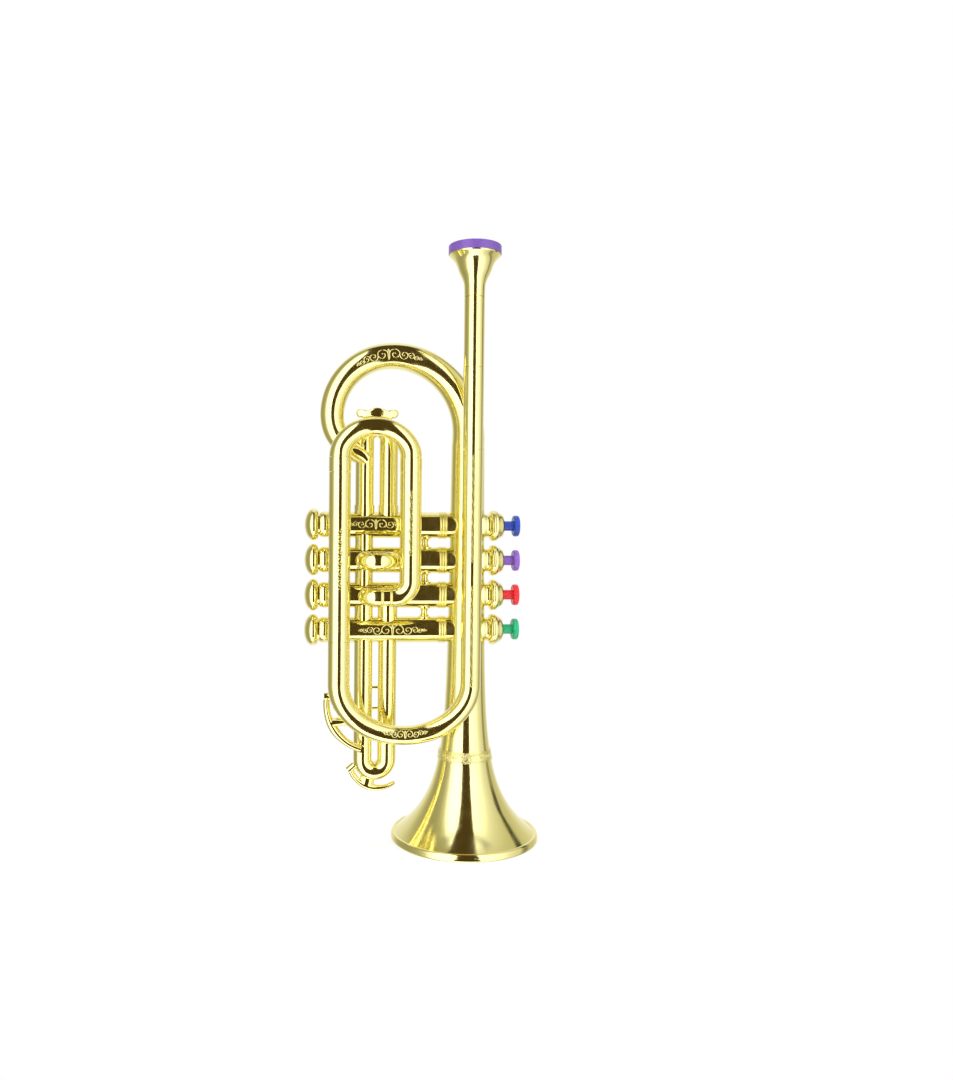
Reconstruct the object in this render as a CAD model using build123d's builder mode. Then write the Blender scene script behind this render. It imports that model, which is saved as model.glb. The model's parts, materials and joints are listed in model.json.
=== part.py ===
from build123d import *
import os
from math import cos, exp, hypot, radians, sin

# Toy trumpet standing on its bell. Millimetres. Z runs up the bell axis from the
# plane of the rim, X points towards the finger keys, and -Y is the front, where the
# leadpipe loop lies in front of the bell and the valves.

# Fits and cuts shared by every piece
overrun = 2.0
seam_gap = 0.25
running_clearance = 0.05
joint_clearance = 0.05
seat_clearance = 0.06

# Overall
total_height = 360.0
front_layer_offset = 18.9
half_turn = 180.0
quarter_turn = 90.0
tube_wall = 1.5
spigot_length = 5.0
spigot_wall = 1.1

# Bell flare, rolled rim and raised collar
bell_rim_radius = 45.6
bell_bead_height = 3.0
bell_bead_width = 2.8
bell_bead_round = 1.1
bell_wall = 1.6
flare_decay = 23.3
flare_station_count = 9
station_spread = 1.5
collar_height = 52.8
collar_width = 6.6
collar_proud = 0.5

# Bell stem, which carries the valves
stem_foot_radius = 12.1
stem_top_radius = 10.1
stem_above_valves = 49.6
stem_station_count = 6
stem_spigot_length = 7.0
stem_spigot_wall = 1.2

# Bell bow, the large bend behind the leadpipe
bow_rise = 6.9
bow_width = 83.7
bow_inner_radius = 46.6
bow_hook_radius = 22.0
bow_hook_angle = 53.0
bow_end_length = 16.0
bow_tube_radii = (10.1, 8.7, 7.8, 7.35, 6.6)
bow_station_count = 13

# Valve row: four equal valves lying across the bell stem
valve_count = 4
top_valve_height = 193.7
valve_pitch = 21.4
casing_radius = 8.0
casing_wall = 1.5
casing_end_x = -84.0
casing_band_x = -15.6
casing_band_pitch = 1.6
casing_bead_radius = 0.8
casing_bead_proud = 0.5
port_radius = 5.0
airway_radius = 3.6
valve_seat_x = -21.5
valve_seat_width = 2.0
valve_seat_hole_radius = 3.0

# Bottom caps, pushed into the open ends of the casings
bottom_neck_radius = 7.1
bottom_neck_length = 6.7
bottom_barrel_rise = 0.9
bottom_waist_radius = 6.8
bottom_waist_length = 0.9
bottom_dome_radius = 9.7
bottom_dome_edge_radius = 8.7
bottom_dome_rim = 2.8
bottom_dome_depth = 5.4
dome_share = 0.55
bottom_spigot_length = 5.0
bottom_spigot_wall = 1.4

# Top caps, on the key side of the bell stem
top_neck_radius = 8.15
top_neck_start_x = 7.0
top_waist_radius = 7.1
top_waist_x = 12.6
top_neck_end_x = 14.3
top_flange_edge_radius = 8.9
top_flange_radius = 9.5
top_flange_end_x = 19.4
top_shoulder_radius = 8.3
top_groove_x = 16.2
top_groove_depth = 0.45
top_groove_width = 0.7
top_dome_end_x = 22.6
top_dome_face_radius = 4.6
top_spigot_radius = 4.8
top_spigot_reach = 1.0

# Finger keys and their plungers
key_travel = 5.0
key_stem_radius = 3.0
key_stem_start_x = 9.5
key_disc_radius = 6.5
key_disc_width = 3.6
key_stop_gap = 1.1
key_disc_round = 1.1
rod_radius = 1.5
rod_grip_length = 8.0
plunger_head_radius = 4.6
plunger_head_width = 1.5
pad_radius = 4.9
pad_width = 2.0
pad_seat_gap = 0.1

# Return springs, reed plates and reeds
spring_outer_radius = 3.6
spring_wire = 0.6
spring_end_gap = 0.05
reed_plate_x = -40.0
reed_plate_width = 3.0
reed_slot_width = 2.4
reed_slot_length = 7.0
reed_width = 3.2
reed_length = 9.0
reed_thickness = 0.4
spring_seat_depth = 0.8

# Valve slides, knuckles and bridge posts
slide_left_x = -63.6
slide_right_x = -48.9
slide_tube_radius = 5.65
slide_tube_wall = 1.4
upper_slide_bend_height = 245.4
upper_slide_collar_proud = 0.55
upper_slide_collar_length = 4.0
lower_slide_bend_height = 49.6
slide_tie_radius = 0.95
slide_tie_heights = (93.8, 80.9)
knuckle_radius = 5.65
right_knuckle_radius = 6.1
post_x = -26.2
post_waist_radius = 1.9
post_end_radius = 4.0

# Crook that stands out in front of the second valve
valve_crook_tube_radius = 5.6
valve_crook_leg_length = 12.0

# Thumb saddle on the upper slide
saddle_width = 25.6
saddle_depth = 9.0
saddle_top_height = 265.0
saddle_dip = 2.0
saddle_dip_x = 6.6
saddle_tip_drop = 1.2
saddle_tip_radius = 2.5
saddle_neck_width = 17.0
saddle_pocket_width = 6.2
saddle_pocket_height = 3.0
saddle_pocket_drop = 4.2
saddle_pocket_depth = 4.0
saddle_edge_round = 1.0

# Leadpipe loop in the front layer
leadpipe_radius = 6.15
left_leg_x = -79.0
right_leg_x = -37.0
leg_radius = 6.45
leadpipe_lower_seam = 239.1
leadpipe_upper_seam_share = 0.54
lower_crook_height = 99.4
lower_crook_drop = 31.2
lower_crook_tube_radius = 5.6
left_leg_foot = 124.6
ferrule_foot = 224.7
ferrule_top = 233.8
ferrule_proud = 0.1
upper_crook_rise = 18.2
upper_crook_tube_radius = 5.3
crook_station_count = 9

# Right leg and the elbow into the third valve
right_leg_bend_radius = 10.0
arm_tube_radius = 5.6
elbow_joint_x = -47.4
elbow_tube_radius = 5.2
elbow_x = -62.4
elbow_bend_radius = 6.0
elbow_bead_radius = 0.9
elbow_bead_proud = 0.55
elbow_bead_x = -53.6
bend_station_count = 5

# Mouthpiece and its soft rim
rim_radius = 15.7
rim_height = 5.2
rim_opening_radius = 9.0
rim_round = 0.8
rim_seat_depth = 1.2
rim_lip_radius = 11.2
flange_radius = 15.3
flange_edge = 0.9
bowl_radius = 12.3
bowl_drop = 4.0
waist_radius = 9.2
waist_drop = 11.0
shank_radius = 6.3
shank_drop = 19.6
shank_length = 25.5
cup_floor_radius = 5.6
cup_floor_drop = 9.6
cup_bore_radius = 9.6
cup_bore_drop = 4.2
throat_radius = 2.2
throat_drop = 13.8
backbore_radius = 3.4

# Upper finger hook, behind the lower crook and on the lower slide
upper_hook_centre_x = -59.5
upper_hook_centre_height = 84.5
upper_hook_radius = 28.5
upper_hook_depth = 4.6
upper_hook_angles = (168.0, 213.0, 258.0)
upper_hook_top_width = 3.4
upper_hook_middle_width = 5.2
upper_hook_foot_width = 3.6
upper_hook_block_width = 4.8
upper_hook_block_length = 5.4
upper_hook_web_angle = 203.0
upper_hook_web_height = 77.0
upper_hook_web_widths = (5.0, 6.4)
upper_hook_foot_x = -65.2
upper_hook_foot_radius = 2.2
hook_station_count = 7
bar_station_count = 2

# Lower finger hook, under the bend of the lower slide
lower_hook_centre_x = -55.0
lower_hook_centre_height = 47.7
lower_hook_radius = 18.1
lower_hook_depth = 5.0
lower_hook_angles = (196.0, 252.0, 312.0)
lower_hook_top_width = 3.2
lower_hook_middle_width = 4.4
lower_hook_tip_width = 2.0
lower_hook_tip_depth = 3.4
lower_hook_block_width = 4.4
lower_hook_block_length = 5.2
lower_hook_block_angle = 40.0
lower_hook_bridge_width = 9.0
lower_hook_bridge_angle = 246.0

# Places that follow from the sizes above
valve_heights = [top_valve_height - valve_pitch * step for step in range(valve_count)]
low_valve_height = valve_heights[-1]
stem_top_height = top_valve_height + stem_above_valves
bow_outer_radius = bow_width - bow_inner_radius
casing_bore_radius = casing_radius - casing_wall
slide_bend_radius = (slide_right_x - slide_left_x) / 2
slide_middle_x = (slide_right_x + slide_left_x) / 2
leg_bore_radius = leg_radius - tube_wall
leadpipe_bore_radius = leadpipe_radius - tube_wall
loop_centre_x = (left_leg_x + right_leg_x) / 2
key_disc_x = top_dome_end_x + key_travel + key_stop_gap
rim_foot = total_height - rim_height
shank_height = rim_foot - shank_drop
leadpipe_top_seam = rim_foot - shank_length
leadpipe_length = leadpipe_top_seam - leadpipe_lower_seam
leadpipe_upper_seam = leadpipe_lower_seam + leadpipe_length * leadpipe_upper_seam_share
upper_hook_centre = (upper_hook_centre_x, upper_hook_centre_height)
upper_hook_widths = (upper_hook_top_width, upper_hook_middle_width, upper_hook_foot_width)
lower_hook_centre = (lower_hook_centre_x, lower_hook_centre_height)
lower_hook_widths = (lower_hook_top_width, lower_hook_middle_width, lower_hook_tip_width)
lower_hook_depths = (lower_hook_depth, lower_hook_depth, lower_hook_tip_depth)
flare_gain = bell_rim_radius - stem_foot_radius + bell_bead_height
front_y = -front_layer_offset
front_plane = Plane.XZ.offset(front_layer_offset)
front_axis = Axis((0, front_y, 0), (0, 0, 1))


def bell_radius(height):
    """Outer radius of the bell at a height: a slow taper with an exponential flare."""
    taper = (stem_foot_radius - stem_top_radius) / (stem_top_height - collar_height)
    straight = stem_foot_radius - taper * (height - collar_height)
    return straight + flare_gain * exp(-height / flare_decay)


def bell_slope(height):
    """How fast the bell's outer radius changes with height."""
    taper = (stem_foot_radius - stem_top_radius) / (stem_top_height - collar_height)
    return -taper - flare_gain / flare_decay * exp(-height / flare_decay)


def bell_points(low, high, count, inset):
    """Points up one wall of the bell, set in from the outside at right angles to it."""
    points = []
    for step in range(count):
        height = low + (high - low) * (step / (count - 1)) ** station_spread
        slope = bell_slope(height)
        across = inset / hypot(1, slope)
        points.append((bell_radius(height) - across, height + slope * across))
    return points


def between(values, share):
    """A size part of the way along a row of sizes, by straight lines between them."""
    place = share * (len(values) - 1)
    index = min(int(place), len(values) - 2)
    return values[index] + (values[index + 1] - values[index]) * (place - index)


def tube_along(path, radii, count, across, wall=0):
    """Loft round sections along a path, with the radii spread evenly along it."""
    rings = []
    for step in range(count):
        share = step / (count - 1)
        section = Plane(origin=path @ share, x_dir=across, z_dir=path % share)
        with BuildSketch(section) as ring:
            Circle(between(radii, share))
            if wall:
                Circle(between(radii, share) - wall, mode=Mode.SUBTRACT)
        rings.append(ring.sketch)
    loft(rings)


def straight_tube(plane, outer_radius, length, wall=0):
    """A round bar, or a tube if it has a wall, from a plane along its normal."""
    with BuildSketch(plane) as ring:
        Circle(outer_radius)
        if wall:
            Circle(outer_radius - wall, mode=Mode.SUBTRACT)
    extrude(ring.sketch, amount=length)


def spigot(plane, own_bore, next_bore, length):
    """A thinner end that enters the next tube's bore, rooted in the bore of its own."""
    plug_radius = next_bore - joint_clearance
    root_radius = own_bore + joint_clearance
    straight_tube(plane, plug_radius, length, spigot_wall)
    straight_tube(plane, root_radius, -overrun, root_radius - plug_radius + spigot_wall)


def bent_tube(plane, axis, angle, outer_radius, wall=0):
    """A round tube bent about an axis, from its section on a plane."""
    with BuildSketch(plane) as ring:
        Circle(outer_radius)
        if wall:
            Circle(outer_radius - wall, mode=Mode.SUBTRACT)
    revolve(ring.sketch, axis=axis, revolution_arc=angle)


def round_cut(plane, radius, length):
    """A round hole from a plane along its normal."""
    with BuildSketch(plane) as hole:
        Circle(radius)
    extrude(hole.sketch, amount=length, mode=Mode.SUBTRACT)


def bent_cut(plane, axis, angle, radius):
    """A round hole bent about an axis, from its section on a plane."""
    with BuildSketch(plane) as hole:
        Circle(radius)
    revolve(hole.sketch, axis=axis, revolution_arc=angle, mode=Mode.SUBTRACT)


def bead_ring(plane, axis, across, bead_radius):
    """A raised round bead about an axis, with its middle a distance across the plane."""
    with BuildSketch(plane) as section:
        with Locations((across[0], across[1])):
            Circle(bead_radius)
    revolve(section.sketch, axis=axis)


def upright(x, y, height):
    """A plane across an upright tube, facing up."""
    return Plane(origin=(x, y, height))


def downward(x, y, height):
    """A plane across an upright tube, facing down."""
    return Plane(origin=(x, y, height), z_dir=(0, 0, -1))


def lengthwise(x, height):
    """A plane across a valve, facing the keys."""
    return Plane(origin=(x, 0, height), x_dir=(0, 1, 0), z_dir=(1, 0, 0))


def forward(x, y, height):
    """A plane that faces the front."""
    return Plane(origin=(x, y, height), x_dir=(1, 0, 0), z_dir=(0, -1, 0))


def valve_axis(height):
    """The centre line of the valve at a height."""
    return Axis((0, 0, height), (1, 0, 0))


def oval_along(path, widths, depths, count):
    """Loft oval sections along a path, deep from front to back, as the finger hooks are."""
    rings = []
    for step in range(count):
        share = step / (count - 1)
        section = Plane(origin=path @ share, x_dir=(0, 1, 0), z_dir=path % share)
        with BuildSketch(section) as ring:
            Ellipse(between(depths, share) / 2, between(widths, share) / 2)
        rings.append(ring.sketch)
    loft(rings)


def hook_line(plane, centre, radius, angles, widths):
    """The middle line of a finger hook whose outer edge is round."""
    with BuildLine(plane) as line:
        ThreePointArc(
            *[polar(centre, radius - width / 2, angle) for angle, width in zip(angles, widths)]
        )
    return line.wire()


def bar_line(plane, start, end):
    """A straight line on a plane."""
    with BuildLine(plane) as line:
        Line(start, end)
    return line.wire()


def polar(centre, radius, angle):
    """A point of an outline, by its distance and angle from a centre."""
    return (centre[0] + radius * cos(radians(angle)), centre[1] + radius * sin(radians(angle)))


os.makedirs("parts", exist_ok=True)

# Bell flare: the horn from the rim up to the collar, which sockets the stem
seam_radius = bell_radius(collar_height)
collar_low = collar_height - collar_width / 2
collar_high = collar_height + collar_width / 2
with BuildPart() as bell_flare:
    with BuildSketch(Plane.XZ):
        with BuildLine():
            outside = Spline(*bell_points(bell_bead_height, collar_height, flare_station_count, 0))
            inside = Spline(
                *bell_points(bell_bead_height, collar_height, flare_station_count, bell_wall)
            )
            Line(outside @ 0, inside @ 0)
            Line(outside @ 1, inside @ 1)
        make_face()
    revolve(axis=Axis.Z)
    with BuildSketch(Plane.XZ) as bead_profile:
        with Locations((bell_rim_radius, 0)):
            Rectangle(bell_bead_width, bell_bead_height, align=(Align.MAX, Align.MIN))
        outer_corners = bead_profile.vertices().group_by(Axis.X)[-1]
        fillet(outer_corners, radius=bell_bead_round)
    revolve(axis=Axis.Z)
    with BuildSketch(Plane.XZ):
        Polygon(
            (bell_radius(collar_low) + collar_proud, collar_low),
            (bell_radius(collar_high) + collar_proud, collar_high),
            (bell_radius(collar_high) + joint_clearance, collar_high),
            (seam_radius + joint_clearance, collar_height),
            (seam_radius, collar_height),
            (bell_radius(collar_low) - bell_wall / 2, collar_low),
            align=None,
        )
    revolve(axis=Axis.Z)
bell_flare.part.label = "bell_flare"
export_step(bell_flare.part, "parts/bell_flare.step")

# Bell stem: the upper bell tube, with a port and a cap hole at each valve
stem_bore_foot = seam_radius - bell_wall
with BuildPart() as bell_stem:
    with BuildSketch(Plane.XZ):
        with BuildLine():
            outside = Spline(*bell_points(collar_height, stem_top_height, stem_station_count, 0))
            inside = Spline(*bell_points(collar_height, stem_top_height, stem_station_count, bell_wall))
            Line(outside @ 0, inside @ 0)
            Line(outside @ 1, inside @ 1)
        make_face()
    revolve(axis=Axis.Z)
    straight_tube(
        upright(0, 0, collar_height - stem_spigot_length),
        stem_bore_foot - joint_clearance,
        stem_spigot_length + overrun,
        stem_spigot_wall,
    )
    for height in valve_heights:
        round_cut(lengthwise(-seam_radius, height), port_radius, seam_radius)
        round_cut(lengthwise(0, height), top_spigot_radius + joint_clearance, seam_radius)
bell_stem.part.label = "bell_stem"
export_step(bell_stem.part, "parts/bell_stem.step")

# Room that the casings and caps leave round the stem
with BuildPart() as stem_room:
    with BuildSketch(Plane.XZ):
        with BuildLine():
            low = low_valve_height - valve_pitch
            skin = Spline(*bell_points(low, stem_top_height, stem_station_count, -seat_clearance))
            Polyline(skin @ 0, (0, (skin @ 0).Y), (0, (skin @ 1).Y), skin @ 1)
        make_face()
    revolve(axis=Axis.Z)

# Bell bow: the tapering tube that climbs from the stem, turns over and curls back
with BuildLine(Plane.XZ) as bow_path:
    rise = Line((0, stem_top_height), (0, stem_top_height + bow_rise))
    first_turn = JernArc(rise @ 1, rise % 1, bow_inner_radius, quarter_turn)
    second_turn = JernArc(first_turn @ 1, first_turn % 1, bow_outer_radius, quarter_turn)
    curl = JernArc(second_turn @ 1, second_turn % 1, bow_hook_radius, bow_hook_angle)
    Line(curl @ 1, (curl @ 1) + (curl % 1) * bow_end_length)
with BuildPart() as bell_bow:
    tube_along(bow_path.wire(), bow_tube_radii, bow_station_count, (0, 1, 0), bell_wall)
    straight_tube(
        upright(0, 0, stem_top_height - spigot_length),
        stem_top_radius - bell_wall - joint_clearance,
        spigot_length + overrun,
        spigot_wall,
    )
    round_cut(
        upright(slide_left_x, 0, low_valve_height),
        slide_tube_radius + seat_clearance,
        upper_slide_bend_height + slide_tube_radius - low_valve_height,
    )
bell_bow.part.label = "bell_bow"
export_step(bell_bow.part, "parts/bell_bow.step")

# Valves, from the top one down. Each is a tube across the bell stem with a reed plate,
# a valve seat, and a plunger that the key pushes off its seat against a spring.
spring_left_x = reed_plate_x + reed_plate_width / 2 - spring_seat_depth + spring_end_gap
pad_right_x = valve_seat_x - pad_seat_gap
head_right_x = pad_right_x - pad_width
spring_right_x = head_right_x - plunger_head_width - spring_end_gap
casing_bead_across = casing_radius + casing_bead_proud - casing_bead_radius
airways_up = (
    (slide_left_x, slide_right_x),
    (slide_left_x,),
    (slide_left_x,),
    (slide_left_x, slide_right_x),
)
airways_down = (
    (slide_left_x,),
    (slide_left_x,),
    (slide_left_x, slide_right_x),
    (slide_left_x, slide_right_x),
)
airways_front = ((), (slide_left_x, slide_right_x), (elbow_x,), ())
for index, height in enumerate(valve_heights):
    number = index + 1
    side_view = forward(0, 0, height)

    with BuildPart() as valve_casing:
        straight_tube(lengthwise(casing_end_x, height), casing_radius, -casing_end_x, casing_wall)
        straight_tube(
            lengthwise(valve_seat_x, height),
            casing_radius - casing_wall / 2,
            valve_seat_width,
            casing_radius - casing_wall / 2 - valve_seat_hole_radius,
        )
        for step in (-1, 0, 1):
            bead_middle = (casing_band_x + step * casing_band_pitch, casing_bead_across)
            bead_ring(side_view, valve_axis(height), bead_middle, casing_bead_radius)
        add(stem_room.part, mode=Mode.SUBTRACT)
        for x in airways_up[index]:
            round_cut(upright(x, 0, height), airway_radius, casing_radius + overrun)
        for x in airways_down[index]:
            round_cut(downward(x, 0, height), airway_radius, casing_radius + overrun)
        for x in airways_front[index]:
            round_cut(forward(x, 0, height), airway_radius, casing_radius + overrun)
    valve_casing.part.label = f"valve_casing_{number}"
    export_step(valve_casing.part, f"parts/valve_casing_{number}.step")

    with BuildPart() as bottom_cap:
        neck_end = casing_end_x - bottom_neck_length
        waist_end = neck_end - bottom_waist_length
        dome_start = waist_end - bottom_dome_rim
        plug_radius = casing_bore_radius - joint_clearance
        plug_end = casing_end_x + bottom_spigot_length
        with BuildSketch(side_view):
            with BuildLine():
                Polyline(
                    (waist_end, 0),
                    (waist_end, plug_radius - bottom_spigot_wall),
                    (plug_end, plug_radius - bottom_spigot_wall),
                    (plug_end, plug_radius),
                    (casing_end_x, plug_radius),
                    (casing_end_x, bottom_neck_radius),
                )
                ThreePointArc(
                    (casing_end_x, bottom_neck_radius),
                    ((casing_end_x + neck_end) / 2, bottom_neck_radius + bottom_barrel_rise),
                    (neck_end, bottom_neck_radius),
                )
                Polyline(
                    (neck_end, bottom_neck_radius),
                    (neck_end, bottom_waist_radius),
                    (waist_end, bottom_waist_radius),
                    (waist_end, bottom_dome_edge_radius),
                )
                Bezier(
                    (waist_end, bottom_dome_edge_radius),
                    ((waist_end + dome_start) / 2, bottom_dome_radius),
                    (dome_start, bottom_dome_radius),
                )
                Bezier(
                    (dome_start, bottom_dome_radius),
                    (dome_start - bottom_dome_depth * dome_share, bottom_dome_radius),
                    (dome_start - bottom_dome_depth, bottom_dome_radius * dome_share),
                    (dome_start - bottom_dome_depth, 0),
                )
                Line((dome_start - bottom_dome_depth, 0), (waist_end, 0))
            make_face()
        revolve(axis=valve_axis(height))
    bottom_cap.part.label = f"bottom_cap_{number}"
    export_step(bottom_cap.part, f"parts/bottom_cap_{number}.step")

    with BuildPart() as top_cap:
        groove_end = top_groove_x + top_groove_width
        with BuildSketch(side_view):
            with BuildLine():
                Polyline((0, 0), (0, top_neck_radius), (top_neck_start_x, top_neck_radius))
                Spline(
                    (top_neck_start_x, top_neck_radius),
                    (top_waist_x, top_waist_radius),
                    (top_neck_end_x, top_flange_edge_radius),
                    tangents=((1, 0), (0, 1)),
                )
                ThreePointArc(
                    (top_neck_end_x, top_flange_edge_radius),
                    ((top_neck_end_x + top_groove_x) / 2, top_flange_radius),
                    (top_groove_x, top_flange_radius),
                )
                Polyline(
                    (top_groove_x, top_flange_radius),
                    (top_groove_x, top_flange_radius - top_groove_depth),
                    (groove_end, top_flange_radius - top_groove_depth),
                    (groove_end, top_flange_radius),
                )
                Spline(
                    (groove_end, top_flange_radius),
                    (top_flange_end_x, top_shoulder_radius),
                    (top_dome_end_x, top_dome_face_radius),
                    tangents=((1, 0), (0, -1)),
                )
                Polyline((top_dome_end_x, top_dome_face_radius), (top_dome_end_x, 0), (0, 0))
            make_face()
        revolve(axis=valve_axis(height))
        add(stem_room.part, mode=Mode.SUBTRACT)
        spigot_end = bell_radius(height) - bell_wall - top_spigot_reach
        straight_tube(
            lengthwise(spigot_end, height), top_spigot_radius, top_neck_end_x - spigot_end
        )
        round_cut(
            lengthwise(0, height), key_stem_radius + running_clearance, top_dome_end_x + overrun
        )
    top_cap.part.label = f"top_cap_{number}"
    export_step(top_cap.part, f"parts/top_cap_{number}.step")

    with BuildPart() as key:
        disc_end = key_disc_x + key_disc_width
        with BuildSketch(side_view) as disc_profile:
            with Locations((key_disc_x, 0)):
                Rectangle(key_disc_width, key_disc_radius, align=(Align.MIN, Align.MIN))
            fillet(disc_profile.vertices().group_by(Axis.Y)[-1], radius=key_disc_round)
        revolve(axis=valve_axis(height))
        straight_tube(
            lengthwise(key_stem_start_x, height),
            key_stem_radius,
            key_disc_x + key_disc_width / 2 - key_stem_start_x,
        )
        round_cut(
            lengthwise(key_stem_start_x, height), rod_radius + joint_clearance, rod_grip_length
        )
    key.part.label = f"key_{number}"
    export_step(key.part, f"parts/key_{number}.step")

    with BuildPart() as plunger:
        head_left_x = head_right_x - plunger_head_width
        rod_end_x = key_stem_start_x + rod_grip_length - joint_clearance
        straight_tube(lengthwise(head_left_x, height), plunger_head_radius, plunger_head_width)
        straight_tube(lengthwise(head_left_x, height), rod_radius, rod_end_x - head_left_x)
    plunger.part.label = f"plunger_{number}"
    export_step(plunger.part, f"parts/plunger_{number}.step")

    with BuildPart() as pad:
        straight_tube(
            lengthwise(head_right_x, height),
            pad_radius,
            pad_width,
            pad_radius - rod_radius - joint_clearance,
        )
    pad.part.label = f"pad_{number}"
    export_step(pad.part, f"parts/pad_{number}.step")

    with BuildPart() as spring:
        straight_tube(
            lengthwise(spring_left_x, height),
            spring_outer_radius,
            spring_right_x - spring_left_x,
            spring_wire,
        )
    spring.part.label = f"spring_{number}"
    export_step(spring.part, f"parts/spring_{number}.step")

    with BuildPart() as reed_plate:
        plate_left_x = reed_plate_x - reed_plate_width / 2
        straight_tube(
            lengthwise(plate_left_x, height), casing_bore_radius - joint_clearance, reed_plate_width
        )
        round_cut(
            lengthwise(plate_left_x + reed_plate_width - spring_seat_depth, height),
            spring_outer_radius + joint_clearance,
            spring_seat_depth + overrun,
        )
        with BuildSketch(lengthwise(plate_left_x, height)):
            Rectangle(reed_slot_width, reed_slot_length)
        extrude(amount=reed_plate_width, mode=Mode.SUBTRACT)
    reed_plate.part.label = f"reed_plate_{number}"
    export_step(reed_plate.part, f"parts/reed_plate_{number}.step")

# Reeds: one strip on each reed plate
with BuildPart() as reeds:
    for height in valve_heights:
        with BuildSketch(lengthwise(reed_plate_x - reed_plate_width / 2, height)):
            Rectangle(reed_width, reed_length)
        extrude(amount=-reed_thickness)
reeds.part.label = "reeds"
export_step(reeds.part, "parts/reeds.step")

# Upper slide: two tubes from the top valve, joined by a U bend
slide_xs = (slide_left_x, slide_right_x)
with BuildPart() as upper_slide:
    for x in slide_xs:
        straight_tube(
            upright(x, 0, top_valve_height),
            slide_tube_radius,
            upper_slide_bend_height - top_valve_height,
            slide_tube_wall,
        )
        straight_tube(
            upright(x, 0, top_valve_height),
            slide_tube_radius + upper_slide_collar_proud,
            casing_radius + upper_slide_collar_length,
            upper_slide_collar_proud + slide_tube_wall / 2,
        )
    bent_tube(
        upright(slide_left_x, 0, upper_slide_bend_height),
        Axis((slide_middle_x, 0, upper_slide_bend_height), (0, 1, 0)),
        half_turn,
        slide_tube_radius,
        slide_tube_wall,
    )
    round_cut(lengthwise(casing_end_x, top_valve_height), casing_radius + seat_clearance, -casing_end_x)
upper_slide.part.label = "upper_slide"
export_step(upper_slide.part, "parts/upper_slide.step")

# Lower slide: two tubes down from the bottom valve, tied twice and joined by a U bend
with BuildPart() as lower_slide:
    for x in slide_xs:
        straight_tube(
            upright(x, 0, lower_slide_bend_height),
            slide_tube_radius,
            low_valve_height - lower_slide_bend_height,
            slide_tube_wall,
        )
    bent_tube(
        upright(slide_left_x, 0, lower_slide_bend_height),
        Axis((slide_middle_x, 0, lower_slide_bend_height), (0, -1, 0)),
        half_turn,
        slide_tube_radius,
        slide_tube_wall,
    )
    tie_start = slide_left_x + slide_tube_radius - slide_tube_wall / 2
    tie_end = slide_right_x - slide_tube_radius + slide_tube_wall / 2
    for height in slide_tie_heights:
        straight_tube(lengthwise(tie_start, height), slide_tie_radius, tie_end - tie_start)
    round_cut(lengthwise(casing_end_x, low_valve_height), casing_radius + seat_clearance, -casing_end_x)
lower_slide.part.label = "lower_slide"
export_step(lower_slide.part, "parts/lower_slide.step")

# Knuckles: short tubes that join each valve to the next
knuckle_places = [
    (f"knuckle_{gap + 1}", slide_left_x, knuckle_radius, valve_heights[gap + 1])
    for gap in range(valve_count - 1)
]
knuckle_places.append(("right_knuckle", slide_right_x, right_knuckle_radius, low_valve_height))
for name, x, radius, height in knuckle_places:
    with BuildPart() as knuckle:
        straight_tube(upright(x, 0, height), radius, valve_pitch, slide_tube_wall)
        for casing_height in (height, height + valve_pitch):
            round_cut(lengthwise(casing_end_x, casing_height), casing_radius + seat_clearance, -casing_end_x)
    knuckle.part.label = name
    export_step(knuckle.part, f"parts/{name}.step")

# Bridge posts: waisted struts between the casings, near the bell stem
with BuildPart() as bridge_posts:
    half_gap = valve_pitch / 2 - casing_radius
    for height in valve_heights[1:]:
        with BuildSketch(forward(post_x, 0, height + valve_pitch / 2)):
            with BuildLine():
                Polyline(
                    (post_end_radius, -half_gap),
                    (post_end_radius, -valve_pitch / 2),
                    (0, -valve_pitch / 2),
                    (0, valve_pitch / 2),
                    (post_end_radius, valve_pitch / 2),
                    (post_end_radius, half_gap),
                )
                ThreePointArc(
                    (post_end_radius, half_gap), (post_waist_radius, 0), (post_end_radius, -half_gap)
                )
            make_face()
        revolve(axis=Axis((post_x, 0, 0), (0, 0, 1)))
    for height in valve_heights:
        round_cut(lengthwise(casing_end_x, height), casing_radius + seat_clearance, -casing_end_x)
bridge_posts.part.label = "bridge_posts"
export_step(bridge_posts.part, "parts/bridge_posts.step")

# Second valve crook: a U bend that stands out in front of its casing
second_valve_height = valve_heights[1]
with BuildPart() as second_valve_crook:
    for x in slide_xs:
        straight_tube(
            forward(x, 0, second_valve_height), valve_crook_tube_radius, valve_crook_leg_length, slide_tube_wall
        )
    bent_tube(
        forward(slide_left_x, -valve_crook_leg_length, second_valve_height),
        Axis((slide_middle_x, -valve_crook_leg_length, 0), (0, 0, 1)),
        half_turn,
        valve_crook_tube_radius,
        slide_tube_wall,
    )
    round_cut(lengthwise(casing_end_x, second_valve_height), casing_radius + seat_clearance, -casing_end_x)
second_valve_crook.part.label = "second_valve_crook"
export_step(second_valve_crook.part, "parts/second_valve_crook.step")

# Leadpipe: two plain lengths, each with a spigot that enters the length below
plug_radius = leadpipe_bore_radius - joint_clearance
for name, foot, top in (
    ("leadpipe_upper", leadpipe_upper_seam, leadpipe_top_seam),
    ("leadpipe_middle", leadpipe_lower_seam, leadpipe_upper_seam),
):
    with BuildPart() as leadpipe:
        start = foot + seam_gap
        straight_tube(upright(0, front_y, start), leadpipe_radius, top - start, tube_wall)
        spigot(downward(0, front_y, start), leadpipe_bore_radius, leadpipe_bore_radius, spigot_length)
    leadpipe.part.label = name
    export_step(leadpipe.part, f"parts/{name}.step")

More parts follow.
